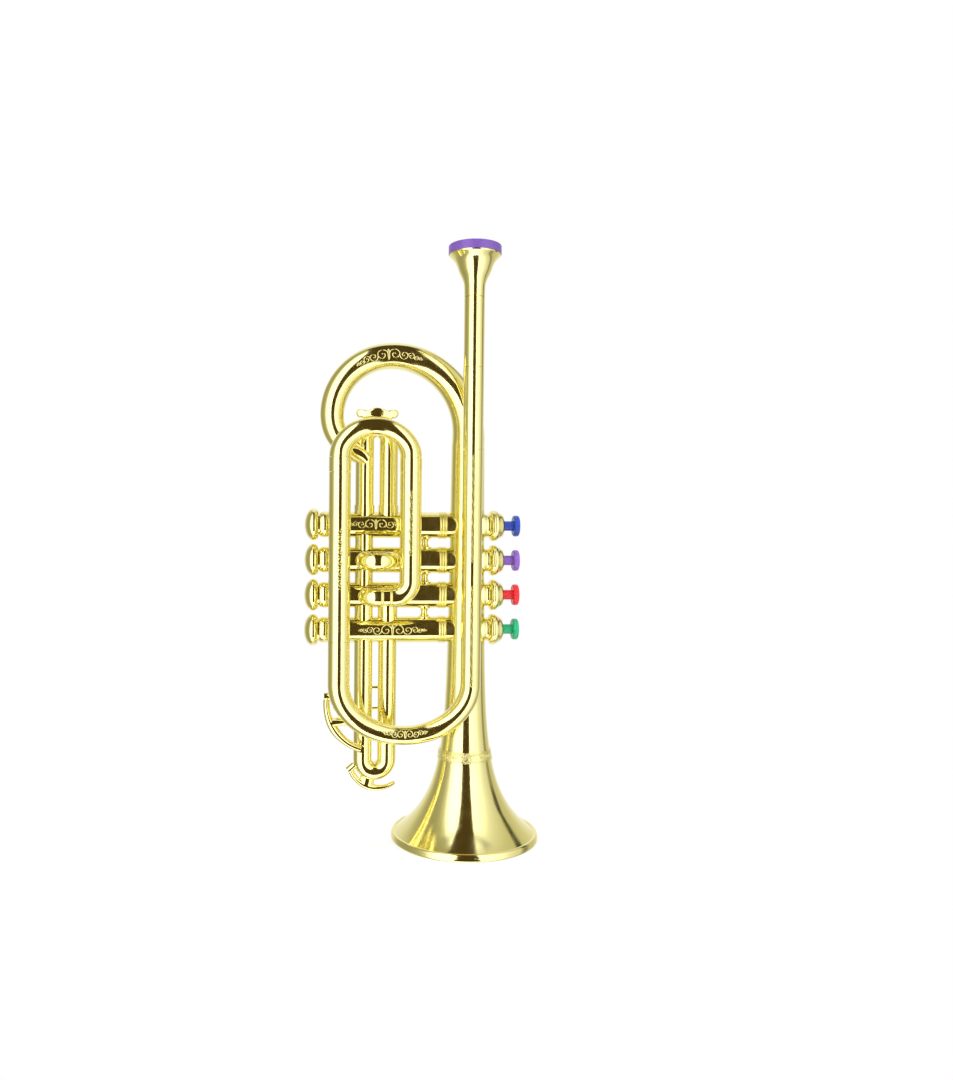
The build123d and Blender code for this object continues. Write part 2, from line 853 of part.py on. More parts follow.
# Lower crook: the last length of leadpipe, the wide bend and the stub under the left leg
crook_half_width = -left_leg_x / 2
with BuildLine(front_plane) as lower_crook_path:
    EllipticalCenterArc(
        (left_leg_x / 2, lower_crook_height),
        crook_half_width,
        lower_crook_drop,
        start_angle=half_turn,
        arc_size=half_turn,
    )
with BuildPart() as lower_crook:
    straight_tube(
        upright(0, front_y, lower_crook_height),
        leadpipe_radius,
        leadpipe_lower_seam - lower_crook_height,
        tube_wall,
    )
    straight_tube(
        upright(left_leg_x, front_y, lower_crook_height),
        leg_radius,
        left_leg_foot - lower_crook_height,
        tube_wall,
    )
    tube_along(
        lower_crook_path.wire(),
        (leg_radius, lower_crook_tube_radius, leadpipe_radius),
        crook_station_count,
        (0, 1, 0),
        tube_wall,
    )
lower_crook.part.label = "lower_crook"
export_step(lower_crook.part, "parts/lower_crook.step")

# Left leg, with a spigot at each end
ferrule_plug_length = (ferrule_top - ferrule_foot) / 2 - joint_clearance
leg_start = left_leg_foot + seam_gap
with BuildPart() as left_leg:
    straight_tube(upright(left_leg_x, front_y, leg_start), leg_radius, ferrule_foot - leg_start, tube_wall)
    spigot(downward(left_leg_x, front_y, leg_start), leg_bore_radius, leg_bore_radius, spigot_length)
    spigot(upright(left_leg_x, front_y, ferrule_foot), leg_bore_radius, leg_bore_radius, ferrule_plug_length)
left_leg.part.label = "left_leg"
export_step(left_leg.part, "parts/left_leg.step")

# Ferrules that join the legs to the upper crook
for name, x in (("left_ferrule", left_leg_x), ("right_ferrule", right_leg_x)):
    with BuildPart() as ferrule:
        straight_tube(
            upright(x, front_y, ferrule_foot + seam_gap),
            leg_radius + ferrule_proud,
            ferrule_top - ferrule_foot - 2 * seam_gap,
            tube_wall + ferrule_proud,
        )
    ferrule.part.label = name
    export_step(ferrule.part, f"parts/{name}.step")

# Upper crook: the narrow bend over the two legs
with BuildLine(front_plane) as upper_crook_path:
    EllipticalCenterArc(
        (loop_centre_x, ferrule_top),
        (right_leg_x - left_leg_x) / 2,
        upper_crook_rise,
        arc_size=half_turn,
    )
with BuildPart() as upper_crook:
    tube_along(
        upper_crook_path.wire(),
        (leg_radius, upper_crook_tube_radius, leg_radius),
        crook_station_count,
        (0, 1, 0),
        tube_wall,
    )
    for x in (left_leg_x, right_leg_x):
        spigot(downward(x, front_y, ferrule_top), leg_bore_radius, leg_bore_radius, ferrule_plug_length)
upper_crook.part.label = "upper_crook"
export_step(upper_crook.part, "parts/upper_crook.step")

# Right leg: down from its ferrule, then round into an arm that meets the elbow
third_valve_height = valve_heights[2]
bend_start = third_valve_height + right_leg_bend_radius
arm_start_x = right_leg_x - right_leg_bend_radius
with BuildLine(front_plane) as right_leg_path:
    JernArc((right_leg_x, bend_start), (0, -1), right_leg_bend_radius, -quarter_turn)
with BuildPart() as right_leg:
    straight_tube(upright(right_leg_x, front_y, bend_start), leg_radius, ferrule_foot - bend_start, tube_wall)
    spigot(upright(right_leg_x, front_y, ferrule_foot), leg_bore_radius, leg_bore_radius, ferrule_plug_length)
    tube_along(
        right_leg_path.wire(), (leg_radius, arm_tube_radius), bend_station_count, (0, 1, 0), tube_wall
    )
    arm_end = Plane(origin=(elbow_joint_x, front_y, third_valve_height), x_dir=(0, 1, 0), z_dir=(-1, 0, 0))
    straight_tube(arm_end, arm_tube_radius, elbow_joint_x - arm_start_x, tube_wall)
    spigot(arm_end, arm_tube_radius - tube_wall, elbow_tube_radius - tube_wall, spigot_length)
right_leg.part.label = "right_leg"
export_step(right_leg.part, "parts/right_leg.step")

# Elbow that turns back into the third valve, with two raised rings
elbow_start = (elbow_joint_x, front_y, third_valve_height)
with BuildLine() as elbow_path:
    run = Line(elbow_start, (elbow_x + elbow_bend_radius, front_y, third_valve_height))
    bend = RadiusArc(
        run @ 1, (elbow_x, front_y + elbow_bend_radius, third_valve_height), elbow_bend_radius
    )
    Line(bend @ 1, (elbow_x, 0, third_valve_height))
with BuildPart() as third_valve_elbow:
    section = Plane(origin=elbow_start, x_dir=(0, 1, 0), z_dir=(-1, 0, 0))
    with BuildSketch(section) as ring:
        Circle(elbow_tube_radius)
        Circle(elbow_tube_radius - tube_wall, mode=Mode.SUBTRACT)
    sweep(ring.sketch, path=elbow_path.wire())
    arm_axis = Axis((0, front_y, third_valve_height), (1, 0, 0))
    bead_across = third_valve_height + elbow_tube_radius + elbow_bead_proud - elbow_bead_radius
    for x in (elbow_joint_x - elbow_bead_radius, elbow_bead_x):
        bead_ring(front_plane, arm_axis, (x, bead_across), elbow_bead_radius)
    round_cut(lengthwise(casing_end_x, third_valve_height), casing_radius + seat_clearance, -casing_end_x)
third_valve_elbow.part.label = "third_valve_elbow"
export_step(third_valve_elbow.part, "parts/third_valve_elbow.step")

# Mouthpiece: shank, bowl, cup and lip, in one moulding
with BuildPart() as mouthpiece:
    flange_foot = rim_foot - flange_edge
    with BuildSketch(front_plane):
        with BuildLine():
            Polyline(
                (backbore_radius, leadpipe_top_seam - spigot_length),
                (plug_radius, leadpipe_top_seam - spigot_length),
                (plug_radius, leadpipe_top_seam + seam_gap),
                (leadpipe_radius, leadpipe_top_seam + seam_gap),
                (shank_radius, shank_height),
            )
            Spline(
                (shank_radius, shank_height),
                (waist_radius, rim_foot - waist_drop),
                (bowl_radius, rim_foot - bowl_drop),
                (flange_radius, flange_foot),
                tangents=((0, 1), (flange_radius - bowl_radius, bowl_drop - flange_edge)),
            )
            Polyline(
                (flange_radius, flange_foot),
                (flange_radius, rim_foot),
                (rim_lip_radius, rim_foot),
                (rim_lip_radius, rim_foot + rim_seat_depth),
                (cup_bore_radius, rim_foot + rim_seat_depth),
                (cup_bore_radius, rim_foot - cup_bore_drop),
            )
            Spline(
                (cup_bore_radius, rim_foot - cup_bore_drop),
                (cup_floor_radius, rim_foot - cup_floor_drop),
                (throat_radius, rim_foot - throat_drop),
            )
            Line(
                (throat_radius, rim_foot - throat_drop),
                (backbore_radius, leadpipe_top_seam - spigot_length),
            )
        make_face()
    revolve(axis=front_axis)
mouthpiece.part.label = "mouthpiece"
export_step(mouthpiece.part, "parts/mouthpiece.step")

# Soft rim that snaps over the lip
with BuildPart() as mouthpiece_rim:
    with BuildSketch(front_plane) as rim_profile:
        Polygon(
            (rim_radius, rim_foot),
            (rim_radius, total_height),
            (rim_opening_radius, total_height),
            (rim_opening_radius, rim_foot + rim_seat_depth + joint_clearance),
            (rim_lip_radius + joint_clearance, rim_foot + rim_seat_depth + joint_clearance),
            (rim_lip_radius + joint_clearance, rim_foot),
            align=None,
        )
        fillet(rim_profile.vertices().group_by(Axis.Y)[-1], radius=rim_round)
    revolve(axis=front_axis)
mouthpiece_rim.part.label = "mouthpiece_rim"
export_step(mouthpiece_rim.part, "parts/mouthpiece_rim.step")

# Thumb saddle: a curved rest on the bend of the upper slide, with a shallow pocket
with BuildPart() as thumb_saddle:
    tip_x = saddle_width / 2 - saddle_tip_radius
    saddle_foot = upper_slide_bend_height + slide_bend_radius
    saddle_plane = Plane(
        origin=(slide_middle_x, saddle_depth / 2, saddle_top_height), x_dir=(1, 0, 0), z_dir=(0, -1, 0)
    )
    with BuildSketch(saddle_plane):
        with BuildLine():
            Spline(
                (-tip_x, -saddle_tip_drop),
                (-saddle_dip_x, -saddle_dip),
                (0, 0),
                (saddle_dip_x, -saddle_dip),
                (tip_x, -saddle_tip_drop),
                tangents=((1, 0), (1, 0)),
            )
            tip_foot = -saddle_tip_drop - 2 * saddle_tip_radius
            for side in (-1, 1):
                ThreePointArc(
                    (side * tip_x, -saddle_tip_drop),
                    (side * (tip_x + saddle_tip_radius), -saddle_tip_drop - saddle_tip_radius),
                    (side * tip_x, tip_foot),
                )
                Spline(
                    (side * tip_x, tip_foot),
                    (side * saddle_neck_width / 2, saddle_foot - saddle_top_height),
                    tangents=((-side, 0), (0, -1)),
                )
            Line(
                (-saddle_neck_width / 2, saddle_foot - saddle_top_height),
                (saddle_neck_width / 2, saddle_foot - saddle_top_height),
            )
        make_face()
    extrude(amount=saddle_depth)
    outline = thumb_saddle.faces().filter_by(Axis.Y).edges().filter_by(GeomType.LINE, reverse=True)
    fillet(outline, radius=saddle_edge_round)
    with BuildSketch(saddle_plane.offset(saddle_depth - saddle_pocket_depth)):
        with Locations((0, -saddle_pocket_drop)):
            Ellipse(saddle_pocket_width / 2, saddle_pocket_height / 2)
    extrude(amount=saddle_pocket_depth, mode=Mode.SUBTRACT)
    bent_cut(
        upright(slide_left_x, 0, upper_slide_bend_height),
        Axis((slide_middle_x, 0, upper_slide_bend_height), (0, 1, 0)),
        half_turn,
        slide_tube_radius + seat_clearance,
    )
thumb_saddle.part.label = "thumb_saddle"
export_step(thumb_saddle.part, "parts/thumb_saddle.step")

# Upper finger hook: it hangs behind the lower crook and stands on the lower slide
upper_hook_back = upper_hook_depth - (front_layer_offset - leg_radius - seat_clearance)
upper_hook_plane = forward(0, upper_hook_back - upper_hook_depth / 2, 0)
with BuildPart() as finger_hook_upper:
    hook = hook_line(
        upper_hook_plane, upper_hook_centre, upper_hook_radius, upper_hook_angles, upper_hook_widths
    )
    oval_along(hook, upper_hook_widths, (upper_hook_depth,) * 2, hook_station_count)
    block_x, block_height = polar(upper_hook_centre, upper_hook_radius, upper_hook_angles[0])
    block = bar_line(
        upper_hook_plane, (block_x, block_height), (block_x + upper_hook_block_length, block_height)
    )
    oval_along(block, (upper_hook_block_width,) * 2, (upper_hook_depth,) * 2, bar_station_count)
    web_start = polar(
        upper_hook_centre, upper_hook_radius - upper_hook_middle_width / 2, upper_hook_web_angle
    )
    web = bar_line(upper_hook_plane, web_start, (upper_hook_foot_x, upper_hook_web_height))
    oval_along(web, upper_hook_web_widths, (upper_hook_depth,) * 2, bar_station_count)
    foot_on_hook = upper_hook_centre_height - upper_hook_radius + upper_hook_foot_radius
    for height in (upper_hook_web_height, foot_on_hook):
        straight_tube(
            forward(upper_hook_foot_x, 0, height),
            upper_hook_foot_radius,
            upper_hook_depth / 2 - upper_hook_back,
        )
    round_cut(
        upright(slide_left_x, 0, lower_slide_bend_height),
        slide_tube_radius + seat_clearance,
        low_valve_height - lower_slide_bend_height,
    )
finger_hook_upper.part.label = "finger_hook_upper"
export_step(finger_hook_upper.part, "parts/finger_hook_upper.step")

# Lower finger hook: a curved arm seated on the bend of the lower slide
lower_hook_plane = forward(0, 0, 0)
with BuildPart() as finger_hook_lower:
    hook = hook_line(
        lower_hook_plane, lower_hook_centre, lower_hook_radius, lower_hook_angles, lower_hook_widths
    )
    oval_along(hook, lower_hook_widths, lower_hook_depths, hook_station_count)
    block_start = polar(lower_hook_centre, lower_hook_radius, lower_hook_angles[0])
    block = bar_line(
        lower_hook_plane,
        block_start,
        polar(block_start, lower_hook_block_length, lower_hook_block_angle),
    )
    oval_along(block, (lower_hook_block_width,) * 2, (lower_hook_depth,) * 2, bar_station_count)
    bridge = bar_line(
        lower_hook_plane,
        polar(lower_hook_centre, lower_hook_radius - lower_hook_middle_width / 2, lower_hook_bridge_angle),
        polar((slide_middle_x, lower_slide_bend_height), slide_bend_radius, lower_hook_bridge_angle),
    )
    oval_along(bridge, (lower_hook_bridge_width,) * 2, (lower_hook_depth,) * 2, bar_station_count)
    bent_cut(
        upright(slide_left_x, 0, lower_slide_bend_height),
        Axis((slide_middle_x, 0, lower_slide_bend_height), (0, -1, 0)),
        half_turn,
        slide_tube_radius + seat_clearance,
    )
    for x in slide_xs:
        round_cut(
            upright(x, 0, lower_slide_bend_height),
            slide_tube_radius + seat_clearance,
            slide_tube_radius * 2,
        )
finger_hook_lower.part.label = "finger_hook_lower"
export_step(finger_hook_lower.part, "parts/finger_hook_lower.step")
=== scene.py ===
import json
import math

import bmesh
import bpy
from mathutils import Matrix, Vector


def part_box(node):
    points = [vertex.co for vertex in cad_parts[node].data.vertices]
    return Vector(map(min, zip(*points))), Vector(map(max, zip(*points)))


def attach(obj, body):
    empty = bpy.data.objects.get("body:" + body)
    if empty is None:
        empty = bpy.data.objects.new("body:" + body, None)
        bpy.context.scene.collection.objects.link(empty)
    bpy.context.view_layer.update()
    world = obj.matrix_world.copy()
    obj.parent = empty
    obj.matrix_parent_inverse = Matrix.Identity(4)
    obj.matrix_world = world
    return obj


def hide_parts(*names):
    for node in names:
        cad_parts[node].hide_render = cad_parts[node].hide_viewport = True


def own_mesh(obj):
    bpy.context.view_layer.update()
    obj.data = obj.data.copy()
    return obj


bl_info = {
    "name": "Toy Trumpet Finish",
    "version": (1, 0, 0),
    "blender": (4, 5, 0),
    "location": "View3D > Sidebar > Toy Trumpet",
    "description": "Plates, colours and ornaments a toy trumpet, and sets a plain studio round it",
    "category": "Object",
}

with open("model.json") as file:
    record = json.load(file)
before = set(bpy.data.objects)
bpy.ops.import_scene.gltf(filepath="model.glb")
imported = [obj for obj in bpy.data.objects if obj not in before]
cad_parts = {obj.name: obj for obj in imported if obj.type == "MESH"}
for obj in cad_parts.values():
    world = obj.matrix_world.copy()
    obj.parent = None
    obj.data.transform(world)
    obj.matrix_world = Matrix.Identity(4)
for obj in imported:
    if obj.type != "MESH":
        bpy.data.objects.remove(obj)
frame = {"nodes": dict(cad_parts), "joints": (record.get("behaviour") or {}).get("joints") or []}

# The trumpet's own body, and its nodes by what they are made of
TRUMPET_BODY = "trumpet"
VALVES = (1, 2, 3, 4)
KEY_COLOURS = ("blue", "purple", "red", "green")
RIM_NODES = ("mouthpiece_rim",)
PLASTIC_NODES = tuple(f"{part}_{n}" for part in ("plunger", "reed_plate") for n in VALVES)
PAD_NODES = tuple(f"pad_{n}" for n in VALVES)
SPRING_NODES = tuple(f"spring_{n}" for n in VALVES)
REED_NODES = ("reeds",)
KEY_NODES = tuple(f"key_{n}" for n in VALVES)
PLAIN_NODES = RIM_NODES + PLASTIC_NODES + PAD_NODES + SPRING_NODES + REED_NODES + KEY_NODES

# Millimetres in Blender's metres
MM = 0.001

# Thumb saddle: the middle of its crown and the crown's radii across, deep and up
SADDLE_MIDDLE = (-56.2 * MM, 0.0, 262.0 * MM)
SADDLE_RADII = (30 * MM, 0, 12 * MM)

# Stippled ground of the bell's collar: where it starts and ends, and how soft its edge is
COLLAR_FOOT = 49.6 * MM
COLLAR_TOP = 56.9 * MM
STIPPLE_EDGE = 0.5 * MM

# Plating: the sizes in millimetres of its drifts of tint, of the smears in its lacquer, of
# the wavers in the moulding under it and of the collar's stipple; the span of the smears'
# noise that shows, the roughness it gives, and the strength and depth of both bumps
TINT_SIZE = 30
SMEAR_SIZE = 6
WAVER_SIZE = 9
STIPPLE_SIZE = 0.8
SMEAR_SPAN = (0.35, 0.7)
PLATING_ROUGHNESS = (0.09, 0.16)
WAVER_STRENGTH = 0.12
WAVER_DEPTH = 0.3 * MM
STIPPLE_STRENGTH = 0.9
STIPPLE_DEPTH = 0.35 * MM

# Moulded plastic: the size in millimetres of the mottle in its pigment, how far that changes
# the brightness and the gloss, the size, strength and depth of its peel, and its gloss
MOTTLE_SIZE = 3
MOTTLE_TONE = (0.92, 1.08)
MOTTLE_GLOSS = (0.85, 1.15)
PEEL_SIZE = 0.4
PEEL_STRENGTH = 0.15
PEEL_DEPTH = 0.05 * MM
PLASTIC_IOR = 1.5
KEY_ROUGHNESS = 0.28
RIM_ROUGHNESS = 0.42

# Bare metal: the size in millimetres of its grain, and how far that changes the gloss
METAL_GRAIN_SIZE = 0.5
METAL_GLOSS = (0.7, 1.3)

# What is inside the valves, as name, sRGB hex and roughness: pale, softly glossy plastic,
# dull black rubber, warm bright strip and cool bright wire
NATURAL_ABS = ("moulded ABS natural", "#DEDACB", 0.4)
PAD_RUBBER = ("moulded rubber black", "#26262A", 0.7)
REED_BRASS = ("rolled brass", "#D9B25F", 0.25)
SPRING_STEEL = ("drawn spring steel", "#B9BABD", 0.3)

# Drawings of the scrolls lie this far in front of the trumpet, and those of the collar this
# far from the bell's axis, before they are cast on. A strand that misses falls to the
# origin, where nothing else comes this near.
DRAWING_Y = -60 * MM
DRAWING_RADIUS = 40 * MM
ORIGIN_CLEARANCE = 2 * MM
# Sides of the round section of strands and wires
SECTION_SIDES = 8

# Each curl of a scroll goes round this many times, shrinking as it winds inwards after its
# first half turn, in this many steps
CURL_TURNS = 1.45
CURL_SHRINK = 0.3
CURL_STEPS = 40
# Radii of the curls in half a flourish, from its middle out
WIDE_CURLS = (3.1 * MM, 2.5 * MM, 1.9 * MM, 1.3 * MM, 0.9 * MM)
MIDDLING_CURLS = (2.9 * MM, 2.2 * MM, 1.5 * MM, 1.0 * MM)
SMALL_CURLS = (2.1 * MM, 1.8 * MM, 1.4 * MM, 1.0 * MM)
# Middles of the flourishes: across and up on a casing, along on the bow, and up on the crook
TOP_CASING_MIDDLE = (-56.9 * MM, 194.1 * MM)
LOW_CASING_MIDDLE = (-46.3 * MM, 129.9 * MM)
BOW_SHIFT = -3.4 * MM
CROOK_SHIFT = 1.7 * MM
# The bow's top: two arcs of different radius that meet above this place
BOW_JOINT_X = -46.6 * MM
BOW_RIGHT_CENTRE = 250.2 * MM
BOW_RIGHT_RADIUS = 46.6 * MM
BOW_LEFT_CENTRE = 259.7 * MM
BOW_LEFT_RADIUS = 37.1 * MM
# The lower crook's ellipse
CROOK_CENTRE_X = -39.5 * MM
CROOK_CENTRE_Z = 99.4 * MM
CROOK_HALF_WIDTH = 39.5 * MM
CROOK_HALF_HEIGHT = 31.2 * MM
# Running scrolls: the radius of their curls, and for each its piece, the node that carries
# it, how many curls it has, the pipe's place across and the scroll's top
VINE_CURL = 1.6 * MM
VINES = (
    ("leadpipe_scroll_upper", "lower_crook", 20, 0.0, 236.5 * MM),
    ("leadpipe_scroll_lower", "lower_crook", 19, 0.0, 158.8 * MM),
    ("left_leg_scroll", "left_leg", 11, -79.0 * MM, 191.3 * MM),
    ("right_leg_scroll", "right_leg", 12, -37.0 * MM, 214.6 * MM),
)
# Bell collar: the radius that its drawing is wrapped on and the height of the arches' feet,
# the double arches and how far the inner one lies inside, a tiny lift that keeps the root in
# their shape above zero, the scrolls under them, and the plain line below their feet
COLLAR_RADIUS = 16.5 * MM
COLLAR_HEIGHT = 52.9 * MM
COLLAR_ARCHES = 4
COLLAR_ARCH_HEIGHT = 2.8 * MM
COLLAR_ARCH_INSET = 0.9 * MM
ARCH_FOOT_LIFT = 1e-9
COLLAR_STEPS = 60
COLLAR_CURLS = (1.3 * MM, 0.9 * MM, 0.6 * MM)
COLLAR_CURL_GAP = 0.3 * MM
COLLAR_LINE = -2.4 * MM

# Rolled rim of the bell: its outer radius, width and height, how square its foot is and
# how round its top, and the steps of its section and round the bell
ROLL_OUTER_RADIUS = 45.4 * MM
ROLL_WIDTH = 2.8 * MM
ROLL_HEIGHT = 4.6 * MM
ROLL_FOOT_POWER = 4.0
ROLL_TOP_POWER = 2.2
ROLL_SECTION_STEPS = 28
ROLL_STEPS = 160

# Return springs: the wire's radius, the turns and the steps in each turn
WIRE_RADIUS = 0.3 * MM
COIL_TURNS = 5.0
COIL_STEPS = 24

# Camera: where the photograph was taken from, in metres and radians, and the photograph's
# size, focal length and column straight ahead, in pixels
CAMERA_PLACE = (-0.0903, -0.5690, 0.1996)
CAMERA_YAW = math.radians(-6.0)
CAMERA_PITCH = math.radians(-1.5)
CAMERA_ROLL = math.radians(0.55)
IMAGE_WIDTH = 953
IMAGE_HEIGHT = 1080
FOCAL_PIXELS = 930
CENTRE_COLUMN = 418
SENSOR_MM = 36.0
NEAREST_SEEN = 0.01

# What the plating mirrors. Walls by angle round the trumpet from the front, in degrees,
# each with its level: soft boxes at both sides of the camera, dimmer walls at the sides
# and a white wall at the back.
WALLS = (
    (-180, 1.0),
    (-152, 0.8),
    (-122, 0.39),
    (-96, 0.39),
    (-76, 0.6),
    (-62, 1.45),
    (-50, 2.1),
    (-24, 2.2),
    (0, 2.0),
    (24, 1.8),
    (40, 1.55),
    (54, 1.2),
    (70, 0.9),
    (92, 0.72),
    (112, 0.62),
    (142, 0.82),
    (156, 0.95),
    (180, 1.0),
)
WALL_TOP_LEVEL = 2.2
# The levels between which the walls' light turns from warm to white, and the warm tint
WARM_LEVEL = 0.5
WHITE_LEVEL = 1.0
WARM_TINT = "#FFFAD8"
# The dark doorway at the right, in degrees: its middle, half width and softness, how far it
# leans for each degree above a height, and the heights between which it ends. It ends in a
# dim glow, and is lighter below the threshold.
DOORWAY_MIDDLE = 99.0
DOORWAY_HALF = 7.0
DOORWAY_SOFTNESS = 5.0
DOORWAY_LEAN = 1.0
DOORWAY_LEAN_FROM = 20.0
DOORWAY_LOW = 46.0
DOORWAY_HIGH = 58.0
DOORWAY_LEVEL = 0.12
LINTEL_SHARE = 0.85
THRESHOLD_LOW = 4.0
THRESHOLD_HIGH = 16.0
THRESHOLD_SHARE = 0.45
# The dim gap between the front boxes and the top one: its height, half width and softness
# in degrees, how far round it goes and how softly it ends there, and its level
LID_GAP_MIDDLE = 66.0
LID_GAP_HALF = 3.5
LID_GAP_SOFTNESS = 4.0
LID_GAP_REACH = 75.0
LID_GAP_END = 20.0
LID_GAP_LEVEL = 0.55
# The even light that reaches matt surfaces from all round
FILL_LEVEL = 0.55

# The floor: its radius and corners, how far from the bell it shows shadow before it turns
# into plain white paper, and the share of white paper next to the bell
FLOOR_RADIUS = 4.0
FLOOR_CORNERS = 96
SHADOW_NEAR = 0.06
SHADOW_FAR = 0.22
PAPER_SHARE = 0.72

# The dark cloth that goes from under the camera to over the trumpet and draws the long line
# down each tube: its left and right edges, the middle and radius of its curve, in metres,
# and where its curve starts and ends, in degrees
CLOTH_LEFT = -0.21
CLOTH_RIGHT = 0.14
CLOTH_MIDDLE_Z = 0.18
CLOTH_RADIUS = 0.62
CLOTH_LOW = -52
CLOTH_HIGH = 100
CLOTH_STEP = 4
CLOTH_TINT = "#4C3D1F"

# Soft lamps: name, place, size and power, in metres and watts, and what they point at
LAMPS = (
    ("left softbox", (-0.9, -0.75, 0.75), 0.8, 11.0),
    ("right softbox", (0.9, -0.75, 0.75), 0.8, 9.0),
    ("top softbox", (0.0, 0.1, 1.3), 0.9, 9.0),
)
LAMP_TARGET = Vector((-0.03, 0, 0.18))


def linear(hex_colour):
    """An sRGB hex colour as linear red, green, blue and alpha."""
    values = []
    for start in (1, 3, 5):
        share = int(hex_colour[start : start + 2], 16) / 255
        values.append(share / 12.92 if share <= 0.04045 else ((share + 0.055) / 1.055) ** 2.4)
    return (*values, 1.0)


def add_node(tree, kind, inputs=None, **settings):
    """Add a node with its settings. Each input takes a value, or a socket to link."""
    node = tree.nodes.new(kind)
    for name, value in settings.items():
        setattr(node, name, value)
    for key, value in (inputs or {}).items():
        if isinstance(value, bpy.types.NodeSocket):
            tree.links.new(value, node.inputs[key])
        else:
            node.inputs[key].default_value = value
    return node


def new_material(name):
    """An empty node material and its tree."""
    material = bpy.data.materials.new(name)
    material.use_nodes = True
    material.node_tree.nodes.clear()
    return material, material.node_tree


def size_to_scale(millimetres):
    """Noise scale that gives features of about this size."""
    return 1 / (millimetres * MM)


def crowned(tree, place, middle, radii):
    """A soft crown over a flat face: height falling away from its middle, by two radii."""
    away = add_node(
        tree, "ShaderNodeVectorMath", {1: middle, 0: place}, operation="SUBTRACT"
    ).outputs["Vector"]
    square = add_node(
        tree, "ShaderNodeVectorMath", {0: away, 1: away}, operation="MULTIPLY"
    ).outputs["Vector"]
    falls = [-1 / (2 * radius) if radius else 0.0 for radius in radii]
    return add_node(
        tree, "ShaderNodeVectorMath", {1: falls, 0: square}, operation="DOT_PRODUCT"
    ).outputs["Value"]


def stippled(tree, place, low, high):
    """Fine stipple on one band of height, such as the ground of an embossed collar."""
    grain = add_node(
        tree,
        "ShaderNodeTexNoise",
        {"Scale": size_to_scale(STIPPLE_SIZE), "Detail": 2.0, "Vector": place},
    )
    height = add_node(tree, "ShaderNodeSeparateXYZ", {"Vector": place}).outputs["Z"]
    above = add_node(
        tree,
        "ShaderNodeMapRange",
        {"Value": height, "From Min": low, "From Max": low + STIPPLE_EDGE},
        interpolation_type="SMOOTHSTEP",
    ).outputs[0]
    below = add_node(
        tree,
        "ShaderNodeMapRange",
        {
            "Value": height,
            "From Min": high - STIPPLE_EDGE,
            "From Max": high,
            "To Min": 1.0,
            "To Max": 0.0,
        },
        interpolation_type="SMOOTHSTEP",
    ).outputs[0]
    band = add_node(tree, "ShaderNodeMath", {0: above, 1: below}, operation="MULTIPLY").outputs[0]
    return add_node(
        tree, "ShaderNodeMath", {0: grain.outputs["Fac"], 1: band}, operation="MULTIPLY"
    ).outputs[0]


def electroplated_abs_gold(settings, name="electroplated ABS gold", crown=None, band=None):
    """Moulded ABS with a lemon-gold vacuum-plated skin: a mirror that wavers a little,
    because the moulding under the plating isn't quite flat, with faint smears in its lacquer.
    A flat face can have a crown, which spreads what it mirrors, and a collar a stippled band."""
    material, tree = new_material(name)
    place = add_node(tree, "ShaderNodeTexCoord").outputs["Object"]
    tint = add_node(
        tree,
        "ShaderNodeTexNoise",
        {"Scale": size_to_scale(TINT_SIZE), "Detail": 2.0, "Vector": place},
    )
    tinted = add_node(
        tree,
        "ShaderNodeMix",
        {
            6: linear(settings.gold_light),
            7: linear(settings.gold_deep),
            "Factor": tint.outputs["Fac"],
        },
        data_type="RGBA",
    )
    smear = add_node(
        tree,
        "ShaderNodeTexNoise",
        {"Scale": size_to_scale(SMEAR_SIZE), "Detail": 4.0, "Vector": place},
    )
    rough = add_node(
        tree,
        "ShaderNodeMapRange",
        {
            "From Min": SMEAR_SPAN[0],
            "From Max": SMEAR_SPAN[1],
            "To Min": PLATING_ROUGHNESS[0],
            "To Max": PLATING_ROUGHNESS[1],
            "Value": smear.outputs["Fac"],
        },
    )
    waver = add_node(
        tree,
        "ShaderNodeTexNoise",
        {"Scale": size_to_scale(WAVER_SIZE), "Detail": 1.0, "Vector": place},
    )
    bump = add_node(
        tree,
        "ShaderNodeBump",
        {"Strength": WAVER_STRENGTH, "Distance": WAVER_DEPTH, "Height": waver.outputs["Fac"]},
    )
    if crown:
        rounded = add_node(
            tree,
            "ShaderNodeBump",
            {"Strength": 1.0, "Distance": 1.0, "Height": crowned(tree, place, *crown)},
        )
        tree.links.new(rounded.outputs["Normal"], bump.inputs["Normal"])
    if band:
        grained = add_node(
            tree,
            "ShaderNodeBump",
            {
                "Strength": STIPPLE_STRENGTH,
                "Distance": STIPPLE_DEPTH,
                "Height": stippled(tree, place, *band),
            },
        )
        tree.links.new(grained.outputs["Normal"], bump.inputs["Normal"])
    shader = add_node(
        tree,
        "ShaderNodeBsdfPrincipled",
        {
            "Metallic": 1.0,
            "Base Color": tinted.outputs[2],
            "Roughness": rough.outputs["Result"],
            "Normal": bump.outputs["Normal"],
        },
    )
    add_node(tree, "ShaderNodeOutputMaterial", {"Surface": shader.outputs[0]})
    return material


